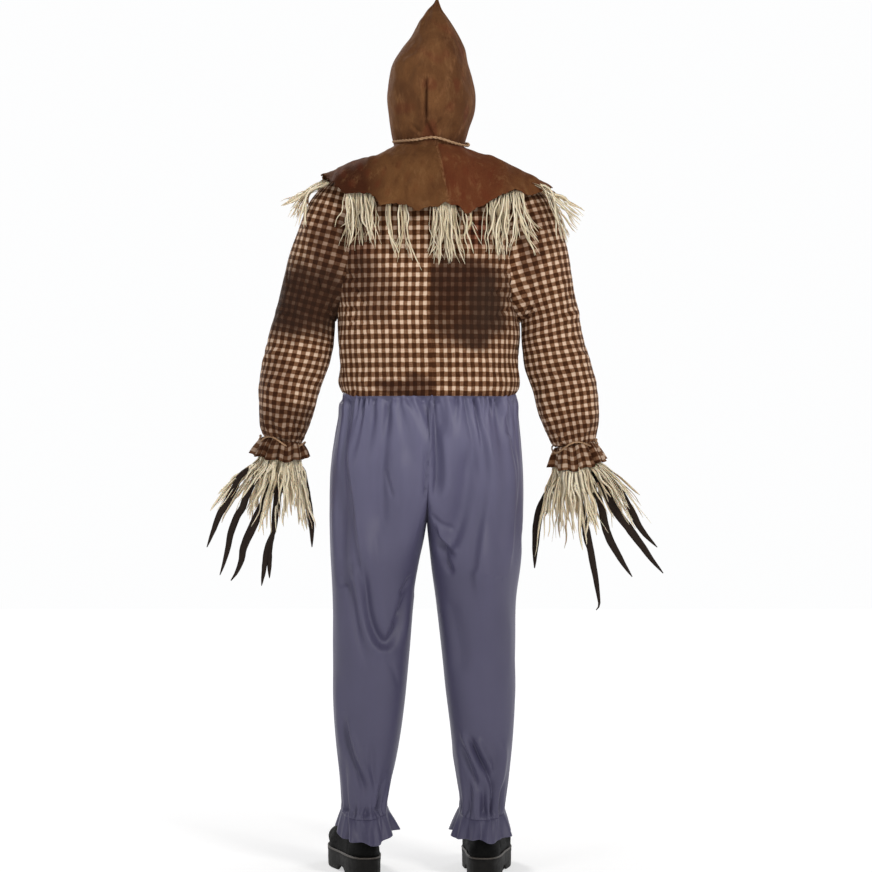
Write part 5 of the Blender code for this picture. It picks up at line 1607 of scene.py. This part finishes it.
def cape():
    rng = random.Random(81)
    columns, rows = 420, 60
    angle = TAU * np.arange(columns) / columns + math.pi / 2
    fine = np.linspace(0, 1, 260)
    x, y, z = cape_surface(angle[None, :] + 0 * fine[:, None], fine[:, None] + 0 * angle[None, :])
    edge = np.array(CAPE_EDGE)
    behind = np.sin(angle) >= 0
    limit_back = np.interp(x, edge[:, 0], edge[:, 1])
    limit_front = np.interp(-x + 0.012, edge[:, 0], edge[:, 1]) + 0.004 * np.sin(x * 70)
    limit = np.where(behind[None, :], limit_back, limit_front)
    beyond = (z < limit) | (x > 0.2215) | (x < -0.2615)
    beyond &= fine[:, None] > 0.3
    stop = np.where(beyond.any(axis=0), fine[np.argmax(beyond, axis=0)], 1.0)
    frayed = stop + 0.006 * waves(rng, angle * 0.25, 0 * angle, 0.03) + 0.0075 * waves(
        rng, angle * 0.25, 0 * angle, 0.010
    )
    frayed = np.clip(frayed, 0.35, 1.0)
    t = np.linspace(0, 1, rows)[:, None] * frayed[None, :]
    a = angle[None, :] + 0 * t
    x, y, z = cape_surface(a, t)
    points = np.stack([x, y, z], axis=2)
    normal = grid_normals(points, True)
    normal *= np.where(normal[..., 2:3] < 0, -1, 1)
    back = ease(np.sin(a) / 0.3 + 0.1)
    relief = 0.0024 * waves(rng, x, y + z, 0.09) * ease(t * 3) + 0.0008 * waves(rng, x, y + z, 0.03)
    relief += gathers(rng, np.mod(a, TAU) * 0.08, 0.16 * t, TAU * 0.08, 30, 0.0020, 0.0050, 0.030)
    relief += random_creases(rng, x, z, (-0.22, 0.22, 1.38, 1.49), 26, 0.05, 0.0060, 0.0018, 0.2)
    for start, end, wide_by, high in (
        ((-0.014, 1.530), (-0.030, 1.470), 0.0028, -0.0030),
        ((-0.030, 1.480), (-0.042, 1.385), 0.0028, -0.0026),
        ((-0.020, 1.530), (-0.037, 1.470), 0.0050, 0.0022),
        ((-0.036, 1.480), (-0.048, 1.385), 0.0050, 0.0020),
    ):
        relief += back * crease(x, z, start, end, wide_by, high)
    relief += 0.0030 * np.sin(a * 11 + 1.0) * ease((t - 0.55) / 0.4)
    points = points + normal * relief[..., None]

    tint = np.zeros(points.shape[:2] + (4,))
    seam_x = np.interp(-z, [-1.527, -1.474, -1.430, -1.380], [-0.0168, -0.0273, -0.0357, -0.0430])
    right_of = back * ease((seam_x - x) / 0.004)
    outer_left = back * ease((x - 0.085) / 0.06)
    tint[..., 0] = np.clip(1.0 * outer_left + 0.25 * ease(-waves(rng, x, z, 0.07)) + 0.25 * (1 - back), 0, 1)
    tint[..., 1] = np.clip(0.62 * right_of * ease((-x) / 0.02) * (1 - 0.6 * ease((-x - 0.13) / 0.05)), 0, 1)
    tint[..., 1] += 0.35 * back * ease(waves(rng, x * 2, z, 0.05) - 0.3) * (0.4 + 0.6 * ease((x - 0.02) / 0.1))
    line = np.exp(-(((x - seam_x) / 0.0020) ** 2)) * back
    tint[..., 2] = np.clip(0.8 * line + 0.10 * ease(waves(rng, x + 0.1, z, 0.05) - 0.4), 0, 1)
    tint[..., 3] = 1
    shawl = sheet_mesh("cape_cloth", points, None, tint, flip=True, thickness=THICKNESS["cape"])
    finish(shawl, "cape", "torso")
    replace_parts(shawl, "cape")
    return shawl


# ---------------------------------------------------------------- raffia

DOWN = np.array([0, 0, -1.0])


def unit(v):
    v = np.asarray(v, float)
    return v / np.linalg.norm(v)


def crinkled(rng, line, size):
    """A line with small waves that grow towards its tip, as dry raffia has."""
    count = len(line)
    t = np.linspace(0, 1, count)[:, None]
    moved = np.array(line, float)
    for _ in range(3):
        way = unit([rng.gauss(0, 1), rng.gauss(0, 1), rng.gauss(0, 0.5)])
        pitch = rng.uniform(0.8, 3.0)
        moved += way * size * rng.uniform(0.3, 1.0) * np.sin(TAU * pitch * t + rng.uniform(0, TAU)) * ease(t * 2.2)
    return moved


def raffia(name, lines, rng, body, width=(0.0040, 0.0064), root_shade_share=0.25):
    """Flat strands with a fold down the middle, as one piece, each tapering to a torn tip."""
    lines = np.array(lines)
    strands, count = lines.shape[:2]
    ahead = np.gradient(lines, axis=1)
    ahead /= np.maximum(np.linalg.norm(ahead, axis=2, keepdims=True), 1e-9)
    turn = np.array([rng.uniform(-0.9, 0.9) for _ in range(strands)])
    twist = np.array([rng.gauss(0, 0.9) for _ in range(strands)])
    outward = lines[:, -1] - lines[:, 0]
    outward[:, 2] = 0
    outward += np.array([[rng.gauss(0, 0.01), rng.gauss(0, 0.01), 0] for _ in range(strands)])
    flat = np.cross(ahead, outward[:, None, :] + 1e-6)
    flat /= np.maximum(np.linalg.norm(flat, axis=2, keepdims=True), 1e-9)
    other = np.cross(flat, ahead)
    t = np.linspace(0, 1, count)
    roll = turn[:, None] + twist[:, None] * t[None, :]
    across = flat * np.cos(roll)[..., None] + other * np.sin(roll)[..., None]
    up = -flat * np.sin(roll)[..., None] + other * np.cos(roll)[..., None]
    wide = np.array([rng.uniform(*width) for _ in range(strands)])
    taper = np.interp(t, [0, 0.15, 0.7, 0.93, 1.0], [0.75, 1.0, 0.95, 0.55, 0.12])
    half = wide[:, None] * taper[None, :] / 2
    fold = np.array([rng.uniform(0.15, 0.6) for _ in range(strands)])[:, None] * half
    corners = [
        lines - across * half[..., None],
        lines + up * (fold + 0.00030)[..., None],
        lines + across * half[..., None],
        lines + up * (fold - 0.00035)[..., None],
    ]
    vertices = np.stack(corners, axis=2).reshape(-1, 3)
    base = np.arange(strands)[:, None, None] * count * 4
    k = np.arange(count - 1)[None, :, None] * 4
    j = np.arange(4)[None, None, :]
    n = (j + 1) % 4
    faces = np.stack(
        [base + k + j, base + k + n, base + k + 4 + n, base + k + 4 + j], axis=-1
    ).reshape(-1, 4).tolist()
    ends = np.arange(strands) * count * 4
    faces += [[int(e + 3), int(e + 2), int(e + 1), int(e)] for e in ends]
    faces += [[int(e + (count - 1) * 4 + q) for q in range(4)] for e in ends]
    side_u = np.array([0, 0.5, 1, 1.5]) * 0.004
    u = (np.arange(strands) * 0.037)[:, None, None] + side_u[None, None, :] + 0 * t[None, :, None]
    v = (0.12 * t)[None, :, None] + 0 * u
    corner_uv = np.stack([u, v], axis=-1).reshape(-1, 2)
    flat_faces = np.array([c for f in faces for c in f])
    tone = np.array([rng.betavariate(3.2, 1.7) for _ in range(strands)])
    tint = np.zeros((strands, count, 4, 4))
    tint[..., 0] = tone[:, None, None]
    # Share of painted shade: 1 at the root, falling to 0 over the first part of the strand.
    tint[..., 1] = np.clip(1 - t / root_shade_share, 0, 1)[None, :, None]
    tint[..., 3] = 1
    bunch = make_mesh(name, vertices, faces, corner_uv[flat_faces], tint.reshape(-1, 4))
    finish(bunch, "raffia", body)
    return bunch


def torso_back(x, z):
    """How far behind the frontal plane the shirt is at x and height z."""
    half_x, half_y, _ = profile(SHIRT_RINGS, np.array([z]))
    share = min(1.0, abs(x - SHIRT_CENTRE_X) / float(half_x[0]))
    return float(half_y[0]) * (1 - share**2.3) ** (1 / 2.3)


# Bundles of raffia under the cape: strands, root x and z from one end to the other, tip x and z, and which face.
BACK_BUNDLES = {
    "left_back": (44, (0.112, 1.402), (0.170, 1.416), (0.108, 1.290), (0.176, 1.298), 1),
    "left_back_thin": (4, (0.076, 1.400), (0.082, 1.402), (0.071, 1.268), (0.077, 1.280), 1),
    "left_back_pair": (8, (0.044, 1.400), (0.060, 1.400), (0.030, 1.256), (0.056, 1.268), 1),
    "centre_back": (42, (-0.010, 1.395), (-0.056, 1.398), (-0.008, 1.262), (-0.070, 1.268), 1),
    "centre_back_thin": (5, (-0.070, 1.382), (-0.090, 1.385), (-0.086, 1.270), (-0.098, 1.285), 1),
    "right_back": (48, (-0.122, 1.398), (-0.196, 1.408), (-0.112, 1.276), (-0.210, 1.284), 1),
    "left_front": (40, (0.060, 1.400), (0.165, 1.420), (0.052, 1.275), (0.180, 1.300), -1),
    "right_front": (42, (-0.060, 1.400), (-0.170, 1.420), (-0.050, 1.272), (-0.186, 1.296), -1),
}
BUNDLE_NODES = {
    "left_back": "fringe_left_back",
    "centre_back": "fringe_centre_back",
    "right_back": "fringe_right_back",
    "left_front": "fringe_left_front",
    "right_front": "fringe_right_front",
}


def cape_raffia():
    for name, (count, root_a, root_b, tip_a, tip_b, face) in BACK_BUNDLES.items():
        rng = random.Random(f"bundle {name}")
        lines = []
        for k in range(count):
            f = min(1.0, max(0.0, (k + rng.uniform(-0.5, 0.5)) / max(1, count - 1)))
            rx, rz = root_a[0] + f * (root_b[0] - root_a[0]), root_a[1] + f * (root_b[1] - root_a[1])
            g = min(1.08, max(-0.08, f + rng.gauss(0, 0.26)))
            tx, tz = tip_a[0] + g * (tip_b[0] - tip_a[0]), tip_a[1] + g * (tip_b[1] - tip_a[1])
            tz += rng.choice((rng.uniform(-0.006, 0.020), rng.uniform(0.010, 0.060)))
            root_y = torso_back(min(abs(rx), 0.13), rz) + 0.010 if abs(rx) > 0.13 else torso_back(rx, rz) + 0.012
            root_y = min(root_y + 0.016, 0.138)
            tip_y = torso_back(min(abs(tx), 0.15), tz) + rng.uniform(0.006, 0.024)
            mid = (
                rx + 0.45 * (tx - rx) + rng.gauss(0, 0.004),
                max(root_y, tip_y) + rng.uniform(0.000, 0.008),
                (rz + tz) / 2,
            )
            end = (tx + rng.gauss(0, 0.011), tip_y, tz)
            if face < 0:
                root_y, rz = root_y - 0.010, rz - 0.010
            route = [(rx, root_y, rz + 0.012), mid, end]
            route = [(px, face * py, pz) for px, py, pz in route]
            lines.append(crinkled(rng, smooth_path(route, 14), 0.0023))
        bunch = raffia(f"{name}_raffia", lines, rng, "torso", (0.0030, 0.0054), 0.12)
        if name in BUNDLE_NODES:
            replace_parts(bunch, BUNDLE_NODES[name])

    for side, sign in SIDES.items():
        rng = random.Random(f"shoulder {side}")
        tips = (
            [(0.3087, 1.4112), (0.300, 1.400), (0.2898, 1.386), (0.2793, 1.371), (0.268, 1.369), (0.2562, 1.365)]
            if sign > 0
            else [(0.3276, 1.394), (0.320, 1.374), (0.315, 1.3566), (0.302, 1.340), (0.294, 1.329), (0.278, 1.345)]
        )
        lines = []
        for k in range(34):
            tx, tz = tips[k % len(tips)]
            tx += rng.uniform(-0.012, 0.001)
            tz += rng.gauss(0, 0.006)
            y = rng.uniform(-0.060, 0.085)
            root = (sign * rng.uniform(0.205, 0.222), y * 0.85, 1.4500 + rng.uniform(-0.006, 0.001) - 0.15 * abs(y))
            over = (
                sign * (0.250 + rng.uniform(-0.006, 0.006)), y, 1.428 + rng.uniform(-0.004, 0.006) - 0.20 * abs(y)
            )
            end = (sign * tx, y * 1.12, tz - 0.30 * abs(y))
            lines.append(crinkled(rng, smooth_path([root, over, end], 14), 0.0026))
        bunch = raffia(f"{side}_shoulder_raffia", lines, rng, None, root_shade_share=0.2)
        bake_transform(bunch)
        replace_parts(bunch, f"fringe_{side}_shoulder")


WRIST_STRANDS = 190


def wrist_raffia():
    for side, sign in SIDES.items():
        rng = random.Random(f"wrist {side}")
        elbow, along, across, deep = forearm_axes(sign)
        lines = []
        for k in range(WRIST_STRANDS):
            a = TAU * (k + rng.uniform(-0.5, 0.5)) / WRIST_STRANDS
            layer = rng.uniform(0, 1)
            ring = across * math.cos(a) + deep * math.sin(a)
            start = elbow + along * (0.222 + 0.010 * layer) + ring * (0.0270 + 0.006 * layer)
            outer = max(0.0, math.cos(a))
            thumb = max(0.0, -math.cos(a))
            clump = 0.10 * math.sin(5 * a + sign) + 0.06 * math.sin(11 * a)
            flare = (0.08 + 0.52 * rng.random() ** 1.2) * (1 + 1.45 * outer - 0.45 * thumb) + clump + 0.36 * thumb
            length = rng.uniform(0.080, 0.190) * (1 + 5 * clump / 6) * (1.0 if sign > 0 else 1.14)
            inside = unit(along + ring * max(min(flare, 0.31), thumb * rng.uniform(0.26, 0.43)))
            outside = unit(along + ring * flare)
            bend = unit([rng.gauss(0, 1), rng.gauss(0, 1), rng.gauss(0, 0.4)])
            line = [start]
            steps = 15
            for step in range(steps):
                gone = step / steps * length
                free = ease((gone - 0.035) / 0.02)
                late = max(0.0, gone - 0.05)
                ahead = inside * (1 - free) + outside * free
                ahead = ahead + DOWN * late * (5.0 * flare + 10.0 * thumb) + bend * late * 2.2
                line.append(line[-1] + unit(ahead) * length / steps)
            lines.append(crinkled(rng, np.array(line), 0.0034))
        bunch = raffia(f"{side}_wrist_raffia_strands", lines, rng, f"{side}_hand", (0.0050, 0.0088), 0.12)
        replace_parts(bunch, f"{side}_wrist_raffia")


# Each ring of the stuffed palm, from wrist to knuckles: height, outward x, half width and half depth.
PALM_RINGS = [
    (0.8850, 0.3065, 0.0130, 0.0110),
    (0.8800, 0.3075, 0.0190, 0.0145),
    (0.8600, 0.3100, 0.0235, 0.0165),
    (0.8400, 0.3150, 0.0300, 0.0175),
    (0.8200, 0.3200, 0.0345, 0.0165),
    (0.8060, 0.3225, 0.0330, 0.0145),
    (0.7990, 0.3235, 0.0260, 0.0100),
    (0.7965, 0.3240, 0.0140, 0.0050),
]


def palms():
    for side, sign in SIDES.items():
        rng = random.Random(f"palm {side}")
        heights = np.linspace(PALM_RINGS[0][0], PALM_RINGS[-1][0], 40)
        middle, half, deep = profile(PALM_RINGS[::-1], heights)
        x, y = superellipse(half, deep, 2.3, np.arange(56) / 56)
        z = heights[:, None] + 0 * x
        points = np.stack([sign * (middle[:, None] + x), y, z], axis=2)
        normal = grid_normals(points, True)
        normal *= np.sign((normal * np.stack([sign * x, y, 0 * x], axis=2)).sum(axis=2, keepdims=True) + 1e-9)
        relief = 0.0012 * waves(rng, x, z, 0.03)
        for k in range(3):
            at = -0.017 + 0.017 * k
            relief -= 0.0022 * np.exp(-(((x - at) / 0.0022) ** 2)) * ease((0.828 - z) / 0.012) * (np.abs(y) > 0.003)
        points = points + normal * relief[..., None]
        palm = sheet_mesh(f"{side}_felt_palm", points, caps=(0, -1), flip=sign < 0)
        finish(palm, "claw_cloth", f"{side}_hand")
        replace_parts(palm, f"{side}_palm")


# ---------------------------------------------------------------- hands

# Each claw's line as (outward x, height, y) from knuckle to tip, and its widest width.
CLAWS = {
    "left": {
        "thumb": (
            [
                (0.275, 0.824, 0), (0.2640, 0.842, -0.006), (0.2565, 0.800, -0.010), (0.2488, 0.752, -0.006),
                (0.2442, 0.718, 0.000), (0.2436, 0.678, 0.003)
            ],
            0.0150
        ),
        "index": (
            [
                (0.304, 0.800, 0), (0.3040, 0.832, 0.030), (0.3140, 0.780, 0.046), (0.3234, 0.710, 0.034),
                (0.3360, 0.676, 0.022)
            ],
            0.0155
        ),
        "middle": (
            [
                (0.325, 0.795, 0), (0.3200, 0.825, 0.030), (0.3381, 0.779, 0.046), (0.3570, 0.741, 0.042),
                (0.3717, 0.710, 0.034), (0.3864, 0.676, 0.024), (0.3906, 0.651, 0.018), (0.4011, 0.626, 0.010),
                (0.4137, 0.608, 0.004)
            ],
            0.0185
        ),
        "ring": (
            [
                (0.345, 0.803, 0), (0.3533, 0.828, 0.028), (0.3780, 0.787, 0.042), (0.3864, 0.762, 0.040),
                (0.3990, 0.743, 0.034), (0.4116, 0.710, 0.028), (0.4200, 0.672, 0.018), (0.4284, 0.643, 0.010),
                (0.4368, 0.6195, 0.004)
            ],
            0.0150
        ),
        "little": (
            [
                (0.360, 0.818, 0), (0.3700, 0.842, 0.018), (0.3927, 0.827, 0.026), (0.4074, 0.796, 0.028),
                (0.4368, 0.7455, 0.020), (0.4494, 0.714, 0.012), (0.4641, 0.678, 0.003)
            ],
            0.0150
        ),
    },
    "right": {
        "thumb": (
            [
                (0.275, 0.824, 0), (0.2680, 0.836, -0.006), (0.2590, 0.805, -0.010), (0.2450, 0.777, -0.008),
                (0.2320, 0.743, -0.004), (0.2262, 0.693, 0.000), (0.2236, 0.634, 0.003)
            ],
            0.0185
        ),
        "index": (
            [
                (0.302, 0.800, 0), (0.3170, 0.780, 0.032), (0.3310, 0.716, 0.036), (0.3440, 0.651, 0.024),
                (0.3520, 0.609, 0.014), (0.3575, 0.575, 0.010), (0.3590, 0.556, 0.006), (0.3528, 0.546, 0.004)
            ],
            0.0145
        ),
        "middle": (
            [
                (0.325, 0.795, 0), (0.3500, 0.790, 0.034), (0.3612, 0.764, 0.038), (0.3738, 0.710, 0.034),
                (0.3948, 0.668, 0.022), (0.4158, 0.634, 0.012), (0.4284, 0.616, 0.004)
            ],
            0.0165
        ),
        "ring": (
            [
                (0.345, 0.803, 0), (0.3570, 0.823, 0.032), (0.3860, 0.764, 0.038), (0.4175, 0.722, 0.030),
                (0.4452, 0.685, 0.020), (0.4704, 0.651, 0.010), (0.4935, 0.6235, 0.004)
            ],
            0.0175
        ),
        "little": (
            [
                (0.360, 0.818, 0), (0.3880, 0.815, 0.022), (0.4242, 0.756, 0.026), (0.4450, 0.718, 0.018),
                (0.4662, 0.693, 0.010), (0.4809, 0.678, 0.004)
            ],
            0.0150
        ),
    },
}
FORKS = {
    ("left", "index"): (
        [(0.3234, 0.710, 0.034), (0.3370, 0.676, 0.022), (0.3440, 0.630, 0.010), (0.3494, 0.597, 0.004)],
        [(0.3234, 0.710, 0.032), (0.3310, 0.676, 0.020), (0.3325, 0.640, 0.010), (0.3326, 0.613, 0.006)],
    ),
    ("right", "index"): (
        [(0.3200, 0.765, 0.034), (0.3255, 0.735, 0.030), (0.3290, 0.702, 0.022), (0.3335, 0.676, 0.012)],
    ),
}


def leaf(route, width, rng, base=0.55):
    """Vertices and faces of a flat pointed claw of felt, rounded across, a little uneven along its edges."""
    line = smooth_path(route, 34)
    ahead = np.gradient(line, axis=0)
    ahead /= np.linalg.norm(ahead, axis=1, keepdims=True)
    across = np.cross(ahead, [0, 1.0, 0])
    across /= np.linalg.norm(across, axis=1, keepdims=True)
    deep = np.cross(across, ahead)
    t = np.linspace(0, 1, len(line))
    half = 0.5 * width * np.interp(
        t, [0, 0.12, 0.40, 0.62, 0.80, 0.93, 1.0], [base * 0.8, base, 1.0, 0.98, 0.74, 0.40, 0.12]
    )
    thick = np.interp(t, [0, 0.2, 0.6, 0.9, 1.0], [0.0050, 0.0052, 0.0044, 0.0026, 0.0006])
    wobble = 1 + 0.035 * np.array([math.sin(k * 0.9 + 2 * rng.random()) for k in range(len(line))])
    sides = 14
    vertices = []
    for k in range(len(line)):
        for j in range(sides):
            a = TAU * j / sides
            c, s = math.cos(a), math.sin(a)
            w = half[k] * (wobble[k] if c > 0 else 2 - wobble[k])
            vertices.append(line[k] + across[k] * w * math.copysign(abs(c) ** 0.8, c) + deep[k] * thick[k] * s)
    faces = []
    for k in range(len(line) - 1):
        for j in range(sides):
            n = (j + 1) % sides
            faces.append((k * sides + j, k * sides + n, (k + 1) * sides + n, (k + 1) * sides + j))
    faces.append(tuple(range(sides))[::-1])
    faces.append(tuple((len(line) - 1) * sides + j for j in range(sides)))
    return vertices, faces


def hands():
    for side, sign in SIDES.items():
        for finger, (route, width) in CLAWS[side].items():
            rng = random.Random(f"{side} {finger}")
            routes = FORKS.get((side, finger), ())
            vertices, faces = [], []
            for k, one in enumerate((route, *routes)):
                placed = [(sign * x, y, z) for x, z, y in one]
                more, made = leaf(placed, width if k == 0 else 0.0115, rng, 0.7 if k == 0 else 0.9)
                faces += [tuple(i + len(vertices) for i in f) for f in made]
                vertices += more
            claw = make_mesh(f"{side}_{finger}_felt_claw", vertices, faces)
            finish(claw, "claw_cloth", f"{side}_{finger}")
            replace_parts(claw, f"{side}_{finger}_claw")


# ---------------------------------------------------------------- boots

FOOT_X = {"left": 0.136, "right": 0.118}
TOE_OUT = {"left": 11, "right": 3}
BOOT_RINGS = [
    # height, heel y, toe y, half width
    (0.0400, 0.0835, -0.1930, 0.0500),
    (0.0480, 0.0850, -0.1945, 0.0505),
    (0.0600, 0.0845, -0.1920, 0.0490),
    (0.0720, 0.0820, -0.1780, 0.0465),
    (0.0840, 0.0790, -0.1400, 0.0430),
    (0.0950, 0.0700, -0.1000, 0.0400),
    (0.1060, 0.0610, -0.0600, 0.0375),
    (0.1150, 0.0550, -0.0380, 0.0360),
    (0.1215, 0.0530, -0.0290, 0.0355),
]


def foot_outline(heel, toe, half_width, turns):
    """A shoe's outline, with a round heel, a waist, and a ball towards the toe at -y."""
    s, c = np.sin(turns), np.cos(turns)
    y = (heel + toe) / 2 + (heel - toe) / 2 * np.sign(s) * np.abs(s) ** 0.85
    share = (heel - y) / (heel - toe)
    ball = np.clip((share - 0.30) / 0.38, 0, 1)
    width = half_width * (0.76 + 0.24 * ball * ball * (3 - 2 * ball))
    return width * np.sign(c) * np.abs(c) ** 0.7, y


def boots():
    for side, sign in SIDES.items():
        place = Matrix.Translation((sign * FOOT_X[side], 0.050, 0)) @ Matrix.Rotation(
            math.radians(sign * TOE_OUT[side]), 4, "Z"
        )
        place = np.array(place @ Matrix.Translation((0, -0.020, 0)))

        def placed(points):
            return points @ place[:3, :3].T + place[:3, 3]

        columns = 120
        turns = TAU * np.arange(columns) / columns
        rng = random.Random(91 + sign)

        heights = np.linspace(0.0400, 0.1215, 44)
        heel, toe, half = profile([(z, a, b, c) for z, a, b, c in BOOT_RINGS], heights)
        rows = []
        for z, a, b, h in zip(heights, heel, toe, half):
            x, y = foot_outline(a, b, h, turns)
            rows.append(np.stack([x, y, np.full(columns, z)], axis=1))
        upper = np.array(rows)
        normal = grid_normals(upper, True)
        x, y, z = upper[..., 0], upper[..., 1], upper[..., 2]
        bulge = 0.0018 * waves(rng, y, z, 0.05)
        bulge += 0.0030 * np.exp(-(((z - 0.060) / 0.012) ** 2)) * ease((-y - 0.05) / 0.08)
        bulge -= 0.0022 * np.exp(-(((z - 0.112) / 0.0022) ** 2))
        bulge -= 0.0016 * np.exp(-(((y - 0.030) / 0.0022) ** 2)) * (z < 0.112)
        for k in range(4):
            bulge -= 0.0024 * np.exp(-(((y + 0.082 - 0.009 * k + 0.3 * (z - 0.06)) / 0.0026) ** 2)) * (z > 0.056)
        upper = upper + normal * bulge[..., None]
        inside = upper - normal * 0.0035
        inside[:4] = inside[4]
        shell = np.concatenate([upper, inside[::-1]], axis=0)
        boot = sheet_mesh(f"{side}_boot_upper", placed(shell), caps=(0,))
        finish(boot, "boot_leather", "torso")
        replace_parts(boot, f"{side}_boot")

        levels = [
            (0.0000, 0.9), (0.0012, 0.99), (0.0150, 1.0), (0.0300, 1.0), (0.0335, 1.012), (0.0385, 1.012),
            (0.0400, 1.0)
        ]
        rows = []
        for level, grow in levels:
            x, y = foot_outline(0.0885, -0.2005, 0.0535, turns)
            notch = 0.0006 * (np.cos(turns * 30) > 0.2) * (level < 0.02)
            out = np.hypot(x, y)
            x, y = x * (grow - notch / out), (y + 0.056) * (grow - notch / out) - 0.056
            lift = 0.0
            if level < 0.01:
                waist = np.exp(-(((y + 0.012) / 0.022) ** 4))
                lift = 0.0125 * waist
            toe_lift = 0.010 * ease((-y - 0.150) / 0.05) * (1 - level / 0.04)
            rows.append(np.stack([x, y, level + lift + toe_lift], axis=1))
        sole = sheet_mesh(f"{side}_lug_sole", placed(np.array(rows)), caps=(0, -1), flip=False)
        finish(sole, "sole_rubber", "torso")
        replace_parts(sole, f"{side}_outsole")

        x, y = foot_outline(0.0870, -0.1985, 0.0525, turns)
        welt = placed(np.stack([x, y, np.full(columns, 0.0405)], axis=1))
        vertices, faces = tube_parts(welt, 0.0022, 8, closed=True)
        finish(make_mesh(f"{side}_boot_welt", vertices, faces), "welt", "torso")

        laces = []
        for k in range(4):
            ly, lz = -0.052 - 0.016 * k, 0.1075 - 0.0098 * k
            for lean in (1, -1):
                laces.append(
                    smooth_path(
                        [
                            (-0.013 * lean, ly + 0.006, lz + 0.002), (0, ly, lz + 0.0062),
                            (0.013 * lean, ly - 0.006, lz - 0.003)
                        ],
                        12
                    )
                )
        bow = tubes(f"{side}_boot_lace", [placed(np.array(p)) for p in laces], 0.0013, 8)
        finish(bow, "boot_trim", "torso")


# ---------------------------------------------------------------- what stays from the CAD model


def wadding():
    """Plain stuffing a little smaller than the CAD's own, so that no crease of the cloth reaches it."""
    heights = np.linspace(1.005, 1.49, 30)
    half_x, half_y, _ = profile(SHIRT_RINGS, heights)
    turns = np.arange(48) / 48
    x, y = superellipse(half_x * 0.86, half_y * 0.84, 2.2, turns)
    torso = sheet_mesh(
        "torso_wadding", np.stack([x, y, np.broadcast_to(heights[:, None], x.shape)], axis=2), caps=(0, -1)
    )
    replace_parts(finish(torso, "stuffing", "torso"), "torso_stuffing")

    heights = np.linspace(0.76, 0.99, 24)
    left, right = profile(LEG_OUTLINE["left"], heights), profile(LEG_OUTLINE["right"], heights)
    half_x = (left[0] - right[0]) / 2
    x, y = superellipse(half_x * 0.76, left[2] * 0.70, 2.2, turns)
    seat = sheet_mesh(
        "trouser_wadding", np.stack([x, y, np.broadcast_to(heights[:, None], x.shape)], axis=2), caps=(0, -1)
    )
    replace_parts(finish(seat, "stuffing", "torso"), "trouser_stuffing")


def dress_cad():
    for cad in frame["nodes"].values():
        for held in cad.material_slots:
            name = held.material.name.split(".")[0] if held.material else "steel"
            held.material = M.get(name, M["steel"])


studio()
neck_cord()
shirt_body()
sleeves()
trousers()
hood()
face_mask()
shawl = cape()
cape_raffia()
wrist_raffia()
palms()
hands()
boots()
wadding()
dress_cad()
